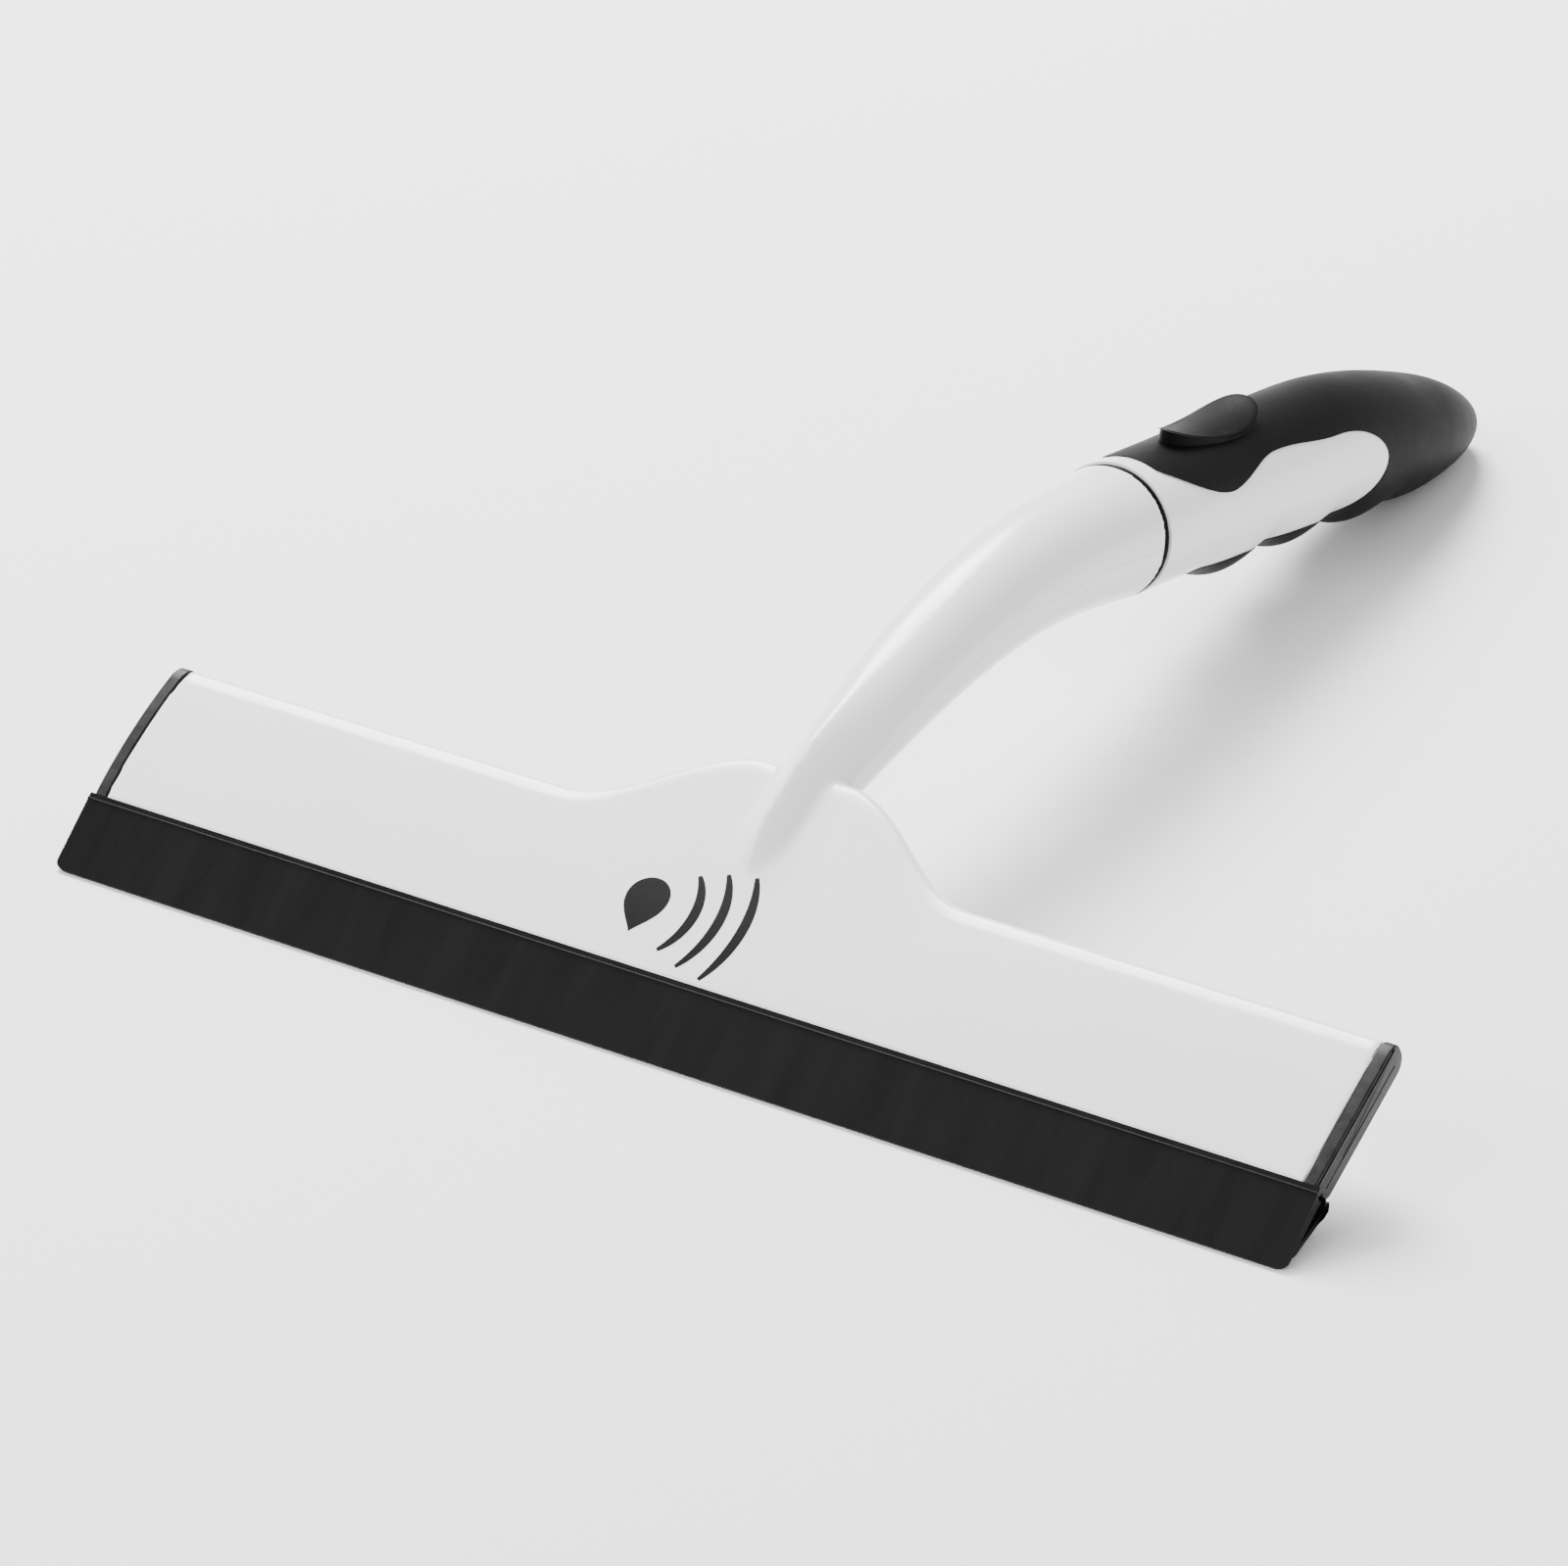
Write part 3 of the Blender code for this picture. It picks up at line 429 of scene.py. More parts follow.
def tone(tree, shader, source, output, low, high, dark, light):
    """Drive the shader's colour by a pattern, from dark at low to light at high."""
    ramp = add_node(tree, "ValToRGB", [("Fac", source, output)])
    ramp.color_ramp.elements[0].position = low
    ramp.color_ramp.elements[1].position = high
    ramp.color_ramp.elements[0].color = dark
    ramp.color_ramp.elements[1].color = light
    tree.links.new(ramp.outputs["Color"], shader.inputs["Base Color"])


def shade(base, factor):
    """A colour made darker or lighter."""
    return tuple(min(1.0, c * factor) for c in base[:3]) + (1,)


def rough_range(tree, shader, source, output, low, high):
    """Drive the shader's roughness by a pattern."""
    spread = add_node(tree, "MapRange", [("Value", source, output)], To_Min=low, To_Max=high)
    tree.links.new(spread.outputs["Result"], shader.inputs["Roughness"])


def bump(tree, shader, source, output, depth, strength=1.0):
    """Raise the surface by a pattern, depth metres high at most."""
    node = add_node(tree, "Bump", [("Height", source, output)], Strength=strength, Distance=depth)
    tree.links.new(node.outputs["Normal"], shader.inputs["Normal"])


def per_metre(size):
    """Noise scale that gives features of about that size."""
    return 1.0 / size


def moulded_abs():
    """Injection-moulded white ABS: a hard gloss with a faint orange peel from the mould."""
    finish = settings("finish")
    material, tree, shader = new_material(
        "moulded_white_abs", finish.abs_colour, IOR=1.54, Roughness=finish.abs_roughness,
        Subsurface_Weight=0.08, Subsurface_Scale=1.2 * MM)
    shader.inputs["Subsurface Radius"].default_value = (1.0, 0.95, 0.9)
    place = add_node(tree, "TexCoord")
    peel = add_node(tree, "TexNoise", [("Vector", place, "Object")], Scale=per_metre(3.5 * MM),
                    Detail=1.0)
    cloud = add_node(tree, "TexNoise", [("Vector", place, "Object")], Scale=per_metre(22 * MM),
                     Detail=3.0)
    rough_range(tree, shader, cloud, "Fac", finish.abs_roughness - 0.05,
                finish.abs_roughness + 0.07)
    tone(tree, shader, cloud, "Fac", 0.3, 0.7, shade(finish.abs_colour, 0.975), finish.abs_colour)
    bump(tree, shader, peel, "Fac", 0.012 * MM)
    return material


def blade_rubber():
    """Moulded rubber: near black and satin, with flow streaks across the blade."""
    finish = settings("finish")
    material, tree, shader = new_material("moulded_blade_rubber", finish.blade_colour, IOR=1.52,
                                          Roughness=0.5, Specular_IOR_Level=0.06)
    place = add_node(tree, "TexCoord")
    squeeze = add_node(tree, "Mapping", [("Vector", place, "Object")])
    squeeze.inputs["Scale"].default_value = (1.0, 0.16, 0.16)
    streaks = add_node(tree, "TexNoise", [("Vector", squeeze, "Vector")],
                       Scale=per_metre(finish.streak), Detail=4.0, Roughness=0.62, Distortion=0.4)
    grain = add_node(tree, "TexNoise", [("Vector", place, "Object")], Scale=per_metre(0.4 * MM),
                     Detail=2.0)
    mixed = add_node(tree, "Math", [(0, grain, "Fac")], operation="MULTIPLY")
    mixed.inputs[1].default_value = 0.12
    height = add_node(tree, "Math", [(0, streaks, "Fac"), (1, mixed, "Value")], operation="ADD")
    tone(tree, shader, streaks, "Fac", 0.35, 0.75, finish.blade_colour,
         shade(finish.blade_colour, 2.6))
    rough_range(tree, shader, streaks, "Fac", 0.34, 0.56)
    bump(tree, shader, height, "Value", 0.14 * MM)
    return material


def grip_elastomer():
    """Soft elastomer over-moulding: a fine spark-eroded grain that breaks up the sheen."""
    finish = settings("finish")
    material, tree, shader = new_material("moulded_grip_elastomer", finish.grip_colour, IOR=1.5,
                                          Roughness=0.55, Specular_IOR_Level=0.05)
    place = add_node(tree, "TexCoord")
    grain = add_node(tree, "TexNoise", [("Vector", place, "Object")],
                     Scale=per_metre(finish.grain), Detail=3.0)
    wear = add_node(tree, "TexNoise", [("Vector", place, "Object")], Scale=per_metre(14 * MM),
                    Detail=4.0, Roughness=0.6)
    rough_range(tree, shader, wear, "Fac", 0.4, 0.62)
    tone(tree, shader, wear, "Fac", 0.35, 0.72, finish.grip_colour, shade(finish.grip_colour, 1.7))
    bump(tree, shader, grain, "Fac", 0.05 * MM)
    return material


def moulded_trim():
    """Moulded black plastic of the trims: a dull satin with paler rubbed patches."""
    finish = settings("finish")
    material, tree, shader = new_material("moulded_black_trim", finish.trim_colour, IOR=1.5,
                                          Roughness=0.45, Specular_IOR_Level=0.2)
    place = add_node(tree, "TexCoord")
    rub = add_node(tree, "TexNoise", [("Vector", place, "Object")], Scale=per_metre(2.5 * MM),
                   Detail=5.0, Roughness=0.65)
    tone(tree, shader, rub, "Fac", 0.35, 0.8, finish.trim_colour, shade(finish.trim_colour, 5.0))
    rough_range(tree, shader, rub, "Fac", 0.36, 0.6)
    bump(tree, shader, rub, "Fac", 0.03 * MM)
    return material


def printed_ink():
    """Pad-printed ink: a thin black film, a little glossier than rubber."""
    finish = settings("finish")
    material, tree, shader = new_material("pad_printed_ink", finish.ink_colour, Roughness=0.4,
                                          Specular_IOR_Level=0.15)
    place = add_node(tree, "TexCoord")
    film = add_node(tree, "TexNoise", [("Vector", place, "Object")], Scale=per_metre(0.8 * MM),
                    Detail=2.0)
    rough_range(tree, shader, film, "Fac", 0.32, 0.46)
    bump(tree, shader, film, "Fac", 0.004 * MM)
    return material


def zinc_plate():
    """Zinc-plated steel: bright, slightly mottled by the plating."""
    finish = settings("finish")
    material, tree, shader = new_material("zinc_plated_steel", finish.zinc_colour, Metallic=1.0,
                                          Roughness=0.3)
    place = add_node(tree, "TexCoord")
    mottle = add_node(tree, "TexNoise", [("Vector", place, "Object")], Scale=per_metre(0.7 * MM),
                      Detail=4.0)
    rough_range(tree, shader, mottle, "Fac", 0.22, 0.42)
    bump(tree, shader, mottle, "Fac", 0.006 * MM)
    return material


def studio_floor():
    """Matt studio board with a barely visible tooth."""
    finish = settings("finish")
    material, tree, shader = new_material("studio_board", finish.floor_colour, Roughness=0.85)
    place = add_node(tree, "TexCoord")
    tooth = add_node(tree, "TexNoise", [("Vector", place, "Object")], Scale=per_metre(1.5 * MM))
    bump(tree, shader, tooth, "Fac", 0.01 * MM)
    return material


def finish_of(maker):
    """The material that a function makes, made once."""
    name = MATERIAL_NAMES[maker]
    return bpy.data.materials.get(name) or maker()


MATERIAL_NAMES = {moulded_abs: "moulded_white_abs", blade_rubber: "moulded_blade_rubber",
                  grip_elastomer: "moulded_grip_elastomer", moulded_trim: "moulded_black_trim",
                  printed_ink: "pad_printed_ink", zinc_plate: "zinc_plated_steel",
                  studio_floor: "studio_board"}


# Head shells with the neck

def plate_section(x):
    """(u, v) points round the head's section at x, from the front of the top face."""
    head = settings("head")
    edge, front, floor = back_edge(x), -3 * MM, -head.thickness
    section = [Vector((front + (edge - head.roll - front) * i / 40, 0)) for i in range(40)]
    section = [Vector((p.x, plate_top(x, p.x))) for p in section]
    section += arc((edge - head.roll, -head.roll), head.roll, 90, 0, 10)
    section += arc((edge - head.under_roll, floor + head.under_roll), head.under_roll, 0, -90, 6)
    section += span((edge - head.under_roll, floor), (front, floor), 30)
    section += span((front, floor), (front, 0), 6) + [section[0]]
    return section


def plate_body():
    """The head's solid body in its own axes."""
    head = settings("head")
    columns = 240
    half = shell_half()
    sections = [plate_section(half * (2 * i / columns - 1)) for i in range(columns + 1)]

    def place(s, t):
        u, v = follow(sections[round(s * columns)], t)
        bow = head.bow * (1 - ((u - head.plate_depth / 2) / (head.plate_depth / 2)) ** 2)
        x = (2 * s - 1) * (half + max(-head.bow, bow - head.bow) * abs(2 * s - 1) ** 8)
        return Vector((x, u, v))

    return rolled_grid(columns, len(sections[0]) - 1, place)


def neck_radii(back):
    """Half width, height above and height below the axis of the neck."""
    neck = settings("neck")
    full = neck.root_radius + ((neck.joint_radius - neck.root_radius)
                               * max(0.0, (back - ROOT_BACK) / (JOINT_BACK - ROOT_BACK)))
    nose = max(0.0, 1 - (back - TOE_BACK + 4 * MM) / (9 * MM))
    nose = math.sqrt(max(0.0, 1 - nose ** 2))
    grow = smooth_step(TOE_BACK - 4 * MM, ROOT_BACK + 4 * MM, back)
    wide = (neck.toe_width + (full - neck.toe_width) * grow) * nose
    lift = neck.toe_rise * smooth_step(ROOT_BACK + 34 * MM, ROOT_BACK - 2 * MM, back)
    above = (full * (0.36 + 0.64 * grow) + lift) * nose
    return wide, above, full * (0.3 + 0.7 * grow) * nose


def neck_end():
    """Where the neck stops, in front of the joint ring."""
    return JOINT_BACK - settings("neck").ring_width / 2


def neck_body():
    """The neck, round about its bent axis, with a peaked crest near the toe."""
    neck = settings("neck")
    start, end, rows, peak = TOE_BACK - 4 * MM, neck_end(), 96, 0.85
    stations = [start + (end - start) * (i / 130) ** 1.2 for i in range(131)]
    stations += [end - neck.end_radius * (1 - i / 6) for i in range(1, 7)]
    stations.sort()

    def place(s, t):
        back = stations[round(s * (len(stations) - 1))]
        centre, _, normal = axis_frame(back)
        wide, above, below = neck_radii(back)
        rim = max(0.0, back - end + neck.end_radius)
        inset = neck.end_radius - math.sqrt(max(0.0, neck.end_radius ** 2 - rim ** 2))
        a = 2 * math.pi * t
        ridge = peak * smooth_step(ROOT_BACK + 32 * MM, TOE_BACK + 2 * MM, back)
        rise = below * math.sin(a)
        if rise > 0:
            rise = above * (math.sin(a) * (1 - ridge) + ridge * (1 - abs(math.cos(a)) ** 1.2))
        scale = 1 - inset / max(above, inset + MM)
        return centre + (Vector((wide * math.cos(a), 0, 0)) + normal * rise) * scale

    mesh_data = rolled_grid(len(stations) - 1, rows, place)
    bmesh.ops.transform(mesh_data, matrix=head_matrix().inverted(), verts=mesh_data.verts)
    return mesh_data


def near_both(point):
    """Whether a point of the head lies where neck and plate meet."""
    reach = settings("neck").fillet
    back = (head_matrix() @ point).y - EDGE_Y
    if not TOE_BACK - 8 * MM < back < ROOT_BACK + 8 * MM:
        return False
    centre, _, normal = axis_frame(max(back, TOE_BACK - 3 * MM))
    wide, above, below = neck_radii(max(back, TOE_BACK - 3 * MM))
    offset = head_matrix() @ point - centre
    up = offset.dot(normal)
    ratio = math.hypot(offset.x / max(wide, MM), up / max(above if up > 0 else below, MM))
    close_to_plate = point.z < plate_top(point.x, min(point.y, back_edge(point.x))) + reach
    return close_to_plate and abs(ratio - 1) * wide < reach


def head_body():
    """Plate and neck grown together, with a fillet between them and sink marks in the plate."""
    both = joined(plate_body(), neck_body())
    both = modified(both, "REMESH", mode="VOXEL", voxel_size=0.55 * MM)
    seam = [vert for vert in both.verts if near_both(vert.co)]
    for _ in range(4):
        bmesh.ops.smooth_vert(both, verts=seam, factor=0.5, use_axis_x=True, use_axis_y=True,
                              use_axis_z=True)
    for _ in range(2):
        bmesh.ops.smooth_vert(both, verts=both.verts, factor=0.4, use_axis_x=True,
                              use_axis_y=True, use_axis_z=True)
    head = settings("head")
    for _, x, u in screw_places():
        for vert in both.verts:
            away = math.hypot(vert.co.x - x, vert.co.y - u)
            if vert.co.z > -MM and away < head.screw_head:
                vert.co.z -= head.sink_depth * smooth_step(head.screw_head, 0.0, away)
    return both


def parting_line():
    """(u, v) points of the parting of the shells, back from the rail."""
    head = settings("head")
    points = []
    for i in range(60):
        back = TOE_BACK + (JOINT_BACK + 4 * MM - TOE_BACK) * i / 59
        on_axis = to_head(axis_frame(back)[0])
        share = smooth_step(back_edge(0) - 3 * MM, back_edge(0) + 6 * MM, on_axis.y)
        if on_axis.y > 20 * MM:
            points.append(Vector((on_axis.y, -head.split * (1 - share) + on_axis.z * share)))
    return points


def mouth(radius):
    """Half the opening, in degrees, that lets a blade's neck swing to its limit."""
    blades, play = settings("blades"), 0.08 * MM
    limit = math.radians(JOINTS["upper_blade_flex"]["range_deg"][1])
    return math.degrees(math.asin((blades.neck / 2 + radius * math.sin(limit) + play) / radius))


def shell_region(upper):
    """A block that holds one shell: it ends at the parting, the rail, the channel and the lip."""
    head, blades = settings("head"), settings("blades")
    seam, far, rail_back = 0.03 * MM, 200 * MM, 6.5 * MM
    channel, sign = blades.bead + 0.2 * MM, 1 if upper else -1
    centre = bead_place(0 if upper else 1)
    angle = math.degrees(blades.upper_drop) if upper else math.degrees(lower_blade_aim()[0])
    aim = 180 + angle
    lip = 90 if upper else 270
    outline = [Vector((centre.x, sign * far))]
    outline += arc(centre, head.skin, lip, aim - sign * mouth(head.skin), 10)
    outline += arc(centre, channel, aim - sign * mouth(channel), 0 if upper else 360, 14)
    outline += [Vector((rail_back, centre.y)), Vector((rail_back, -head.split + sign * seam))]
    outline += [p + Vector((0, sign * seam)) for p in parting_line()]
    outline += [Vector((far, outline[-1].y)), Vector((far, sign * far))]
    return drawn_profile(outline, [-far, far])


def cylinders(places, radius, low, high):
    """Upright cylinders of the head, from v = low to v = high, as one bmesh."""
    mesh_data = bmesh.new()
    for x, u in places:
        matrix = Matrix.Translation((x, u, (low + high) / 2))
        bmesh.ops.create_cone(mesh_data, cap_ends=True, segments=48, radius1=radius,
                              radius2=radius, depth=high - low, matrix=matrix)
    return mesh_data


def neck_screw_frame(node):
    """Turns a screw's own axes onto its place in the neck, square to the neck's axis."""
    low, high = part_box(node)
    middle = (low + high) / 2
    _, tangent, normal = axis_frame(middle.y - EDGE_Y)
    turn = Matrix((Vector((1, 0, 0)), tangent, normal)).transposed().to_4x4()
    return Matrix.Translation(middle) @ turn


def neck_seat(node, radius):
    """Tool for the seat of a screw in the lower half of the neck."""
    low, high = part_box(node)
    reach, head_depth = 40 * MM, 1.0 * MM
    seat = bmesh.new()
    bmesh.ops.create_cone(seat, cap_ends=True, segments=48, depth=reach, radius1=radius,
                          radius2=radius)
    sink = Matrix.Translation((0, 0, -reach / 2 - (high.z - low.z) / 2 + head_depth))
    bmesh.ops.transform(seat, matrix=neck_screw_frame(node) @ sink, verts=seat.verts)
    return seat


class SQUEEGEE_OT_head_shells(bpy.types.Operator):
    """Upper and lower shells of the head, each with its half of the neck"""
    bl_idname = "squeegee.head_shells"
    bl_label = "Head shells"

    def execute(self, context):
        head = settings("head")
        body, seat_radius = head_body(), head.screw_head + SEAT_PLAY
        places = [(x, u) for _, x, u in screw_places()]
        for upper in (True, False):
            shell = combined(body.copy(), shell_region(upper), "INTERSECT")
            if not upper:
                seats = cylinders(places, seat_radius, -20 * MM, -head.thickness + 1.1 * MM)
                shell = combined(shell, seats, "DIFFERENCE")
            bmesh.ops.transform(shell, matrix=head_matrix(), verts=shell.verts)
            if not upper:
                for node in ("neck_screw", "joint_screw"):
                    shell = combined(shell, neck_seat(node, seat_radius), "DIFFERENCE")
            name = "upper_shell" if upper else "lower_shell"
            finish_piece(name + "_moulding", shell, finish_of(moulded_abs),
                         (name,), angle=30)
        return {"FINISHED"}


# Blades

def turned(centre, angle, forward, up):
    """A point in a blade's own axes, placed in the head's (u, v)."""
    return Vector((centre.x - forward * math.cos(angle) - up * math.sin(angle),
                   centre.y - forward * math.sin(angle) + up * math.cos(angle)))


def shoulder():
    """Radius of the blades' round shoulder, just outside the shells' lips."""
    return settings("head").skin + 0.15 * MM


def upper_face():
    """Height of the upper blade's face over its bead, flush with the plate at the border."""
    place, drop = bead_place(0), settings("blades").upper_drop
    return place.x * math.sin(drop) - place.y * math.cos(drop)


def lower_blade_aim():
    """Angle and reach of the lower blade, aimed under the upper one's edge."""
    blades = settings("blades")
    depth = UPPER_ROOT * shoulder()
    root = Vector((math.sqrt(shoulder() ** 2 - depth ** 2), -depth))
    fall = (upper_face() - blades.upper_edge - root.y) / (blades.upper_reach - root.x)
    tip = turned(bead_place(0), blades.upper_drop, blades.upper_reach - blades.lower_setback,
                 upper_face() - blades.upper_edge - fall * blades.lower_setback - blades.lower_gap)
    away = bead_place(1) - tip
    distance = away.length
    face = LOWER_FACE * shoulder()
    lean = math.asin(face / distance)
    return lean - math.atan2(-away.y, away.x), math.sqrt(distance ** 2 - face ** 2)


def blade_outline(top, root_depth, reach, edge, ridge):
    """(forward, up) outline: bead, neck, shoulder, underside, edge, face with its ridge."""
    blades = settings("blades")
    bead_turn = math.degrees(math.asin(blades.neck / 2 / blades.bead))
    neck_turn = math.degrees(math.asin(blades.neck / 2 / shoulder()))
    root_turn = math.degrees(math.asin(root_depth / shoulder()))
    top_turn = math.degrees(math.asin(min(0.999, top / shoulder())))
    outline = arc((0, 0), blades.bead, bead_turn, 360 - bead_turn, 22)
    outline += arc((0, 0), shoulder(), -neck_turn, -root_turn, 8)
    low = outline[-1]
    outline += span(low, (reach, top - edge), 8)[1:]
    outline += [Vector((reach, top - edge)), Vector((reach, top))]
    if ridge:
        crest = arc((shoulder() * 0.5 + blades.ridge_back, top), ridge, 0, 180, 6)
        outline += span((reach, top), (crest[0].x + MM, top), 8)[1:] + crest
    else:
        root = Vector((math.sqrt(shoulder() ** 2 - top ** 2), top))
        outline += span((reach, top), root, 8)[1:]
    outline += arc((0, 0), shoulder(), top_turn, neck_turn, 8)
    return outline


def blade_piece(name, number, angle, outline, reach, half, replaced):
    """Draw a blade along the head, shorten its bead and round its corners and edges."""
    blades = settings("blades")
    centre = bead_place(number)
    profile = [turned(centre, angle, p.x, p.y) for p in outline]
    inner, taper = shell_half() - 0.3 * MM, 3 * MM
    stations = [-half + 2 * half * i / 60 for i in range(61)]
    mesh_data = drawn_profile(profile, stations)
    tip = turned(centre, angle, reach, 0.0)
    ends = []
    for edge in mesh_data.edges:
        a, b = edge.verts
        at_end = abs(abs(a.co.x) - half) < 0.01 * MM and abs(a.co.x - b.co.x) < 0.01 * MM
        at_tip = all(abs((Vector((v.co.y, v.co.z)) - tip).dot(
            Vector((math.cos(angle), math.sin(angle))))) < 0.01 * MM for v in (a, b))
        if at_end and at_tip:
            ends.append(edge)
    bmesh.ops.bevel(mesh_data, geom=ends, offset=blades.corner, segments=8, profile=0.5,
                    affect="EDGES", material=-1, clamp_overlap=False)
    for vert in mesh_data.verts:
        beyond = abs(vert.co.x) - (half - taper)
        offset = Vector((vert.co.y, vert.co.z)) - centre
        forward = -offset.dot(Vector((math.cos(angle), math.sin(angle))))
        if number and beyond > 0:
            shrink = 0.7 * MM * smooth_step(4.6 * MM, 7.5 * MM, forward)
            shrink += 0.3 * MM * smooth_step(9 * MM, 14 * MM, forward)
            shrink += 0.7 * MM * smooth_step(3.0 * MM, 1.8 * MM, forward)
            vert.co.x -= math.copysign(shrink * beyond / taper, vert.co.x)
    for side in (-1, 1):
        block = drawn_profile(arc(centre, shoulder() - 0.05 * MM, 0, 345, 23),
                              sorted((side * inner, side * (half + MM))))
        mesh_data = combined(mesh_data, block, "DIFFERENCE")
    bmesh.ops.transform(mesh_data, matrix=head_matrix(), verts=mesh_data.verts)
    piece = finish_piece(name, mesh_data, finish_of(blade_rubber), (replaced,),
                         replaced)
    rounding = piece.modifiers.new("edges", "BEVEL")
    rounding.width = 0.16 * MM
    rounding.segments = 2
    rounding.limit_method = "ANGLE"
    rounding.angle_limit = math.radians(50)
    return piece


class SQUEEGEE_OT_blades(bpy.types.Operator):
    """Upper and lower rubber blades with their beads"""
    bl_idname = "squeegee.blades"
    bl_label = "Rubber blades"

    def execute(self, context):
        blades = settings("blades")
        end_gap = 0.05 * MM
        outline = blade_outline(upper_face(), UPPER_ROOT * shoulder(), blades.upper_reach,
                                blades.upper_edge, blades.ridge)
        blade_piece("upper_blade_rubber", 0, blades.upper_drop, outline, blades.upper_reach,
                    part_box("upper_blade")[1].x - end_gap, "upper_blade")
        angle, reach = lower_blade_aim()
        outline = blade_outline(LOWER_FACE * shoulder(), LOWER_ROOT * shoulder(), reach,
                                blades.lower_edge, 0)
        blade_piece("lower_blade_rubber", 1, angle, outline, reach,
                    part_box("lower_blade")[1].x - end_gap, "lower_blade")
        return {"FINISHED"}


# End trims

def cap_outline():
    """(u, v) outline of an end trim, a hair proud of the plate's section."""
    head = settings("head")
    proud, skin, nose_wrap = 0.03 * MM, head.skin, 12
    lower_aim = 180 + math.degrees(lower_blade_aim()[0])
    edge = head.plate_depth
    top = [Vector((edge - head.roll - (edge - head.roll - bead_place(0).x) * i / 20, 0))
           for i in range(21)]
    outline = [Vector((p.x, plate_top(shell_half(), p.x) + proud)) for p in top]
    outline += arc(bead_place(0), skin + proud, 90, 215, 10)[1:]
    outline += arc(bead_place(1), skin + proud, lower_aim - mouth(skin) - nose_wrap, 270, 12)
    outline += arc((edge - head.roll, -head.thickness + head.roll), head.roll + proud, 270, 360, 8)
    outline += arc((edge - head.roll, -head.roll), head.roll + proud, 0, 90, 8)[:-1]
    return outline


def cap_groove(low, high, front, rear, side, outer):
    """Tool for a groove along the end face, between two depths below the top of the trim."""
    head = settings("head")
    stations = [front + (rear - front) * i / 24 for i in range(25)]
    tops = [Vector((u, plate_top(shell_half(), max(0.0, u)) - low)) for u in stations]
    floors = [Vector((u, plate_top(shell_half(), max(0.0, u)) - high)) for u in stations]
    ends = sorted((side * (outer - head.cap_groove), side * (outer + MM)))
    return drawn_profile(tops + floors[::-1], ends)


class SQUEEGEE_OT_end_caps(bpy.types.Operator):
    """Black trims over both ends of the head, with two grooves along the end face"""
    bl_idname = "squeegee.end_caps"
    bl_label = "End trims"

    def execute(self, context):
        head = settings("head")
        profile = cap_outline()
        middle = Vector((head.plate_depth / 2, -head.thickness / 2))
        round_steps = [math.radians(15 * i) for i in range(7)]
        edge = 0.45 * MM
        for side, node in ((-1, "left_end_cap"), (1, "right_end_cap")):
            low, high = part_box(node)
            outer = high.x if side > 0 else -low.x
            places = [(outer - head.cap_width + 0.1 * MM, 0.0)]
            places += [(outer - edge + edge * math.sin(a), edge * (1 - math.cos(a)))
                       for a in round_steps]

            def place(s, t, side=side, places=places):
                x, inset = places[round(s * (len(places) - 1))]
                p = follow(profile + profile[:1], t)
                toward = middle - p
                toward.x *= 0.3
                p = p + toward.normalized() * inset
                return Vector((side * x, p.x, p.y))

            cap = rolled_grid(len(places) - 1, len(profile), place)
            grooves = (cap_groove(0.45 * MM, 1.05 * MM, -3 * MM, head.plate_depth - 1.7 * MM,
                                  side, outer),
                       cap_groove(3.6 * MM, 3.95 * MM, 2.5 * MM, head.plate_depth - 3 * MM,
                                  side, outer))
            for groove in grooves:
                cap = combined(cap, groove, "DIFFERENCE")
            for vert in cap.verts:
                away = (vert.co.y - middle.x) / middle.x
                vert.co.x -= side * head.bow * min(1.0, away ** 2)
            bmesh.ops.transform(cap, matrix=head_matrix(), verts=cap.verts)
            finish_piece(node + "_trim", cap, finish_of(moulded_trim), (node,))
        return {"FINISHED"}


# Screws

def screw_mesh(length):
    """A pan-head screw that points up +Z from the underside of its head, with a cross recess."""
    head = settings("head")
    radius, rise, shank = head.screw_head, 1.5 * MM, 1.2 * MM
    outline = [Vector((0, 0, -rise)), Vector((radius * 0.55, 0, -rise * 0.96))]
    outline += [Vector((radius * (0.55 + 0.45 * math.sin(a)), 0, -rise * (0.4 + 0.56 * math.cos(a))))
                for a in (math.pi / 2 * i / 6 for i in range(1, 7))]
    outline += [Vector((radius, 0, 0)), Vector((shank, 0, 0)), Vector((shank, 0, length - MM)),
                Vector((0, 0, length))]
    mesh_data = bmesh.new()
    verts = [mesh_data.verts.new(p) for p in outline]
    edges = [mesh_data.edges.new(pair) for pair in zip(verts, verts[1:])]
    bmesh.ops.spin(mesh_data, geom=verts + edges, cent=(0, 0, 0), axis=(0, 0, 1), steps=40,
                   angle=2 * math.pi, use_merge=True)
    bmesh.ops.remove_doubles(mesh_data, verts=mesh_data.verts, dist=0.001 * MM)
    bmesh.ops.recalc_face_normals(mesh_data, faces=mesh_data.faces)
    for turn in (0.0, math.pi / 2):
        slot = bmesh.new()
        bmesh.ops.create_cube(slot, size=1.0)
        bmesh.ops.scale(slot, vec=(2.6 * MM, 0.6 * MM, 1.6 * MM), verts=slot.verts)
        for vert in slot.verts:
            if vert.co.z > 0:
                vert.co.x *= 0.35
        bmesh.ops.transform(slot, verts=slot.verts, matrix=Matrix.Rotation(turn, 4, "Z"))
        bmesh.ops.translate(slot, verts=slot.verts, vec=(0, 0, -rise))
        mesh_data = combined(mesh_data, slot, "DIFFERENCE")
    return mesh_data


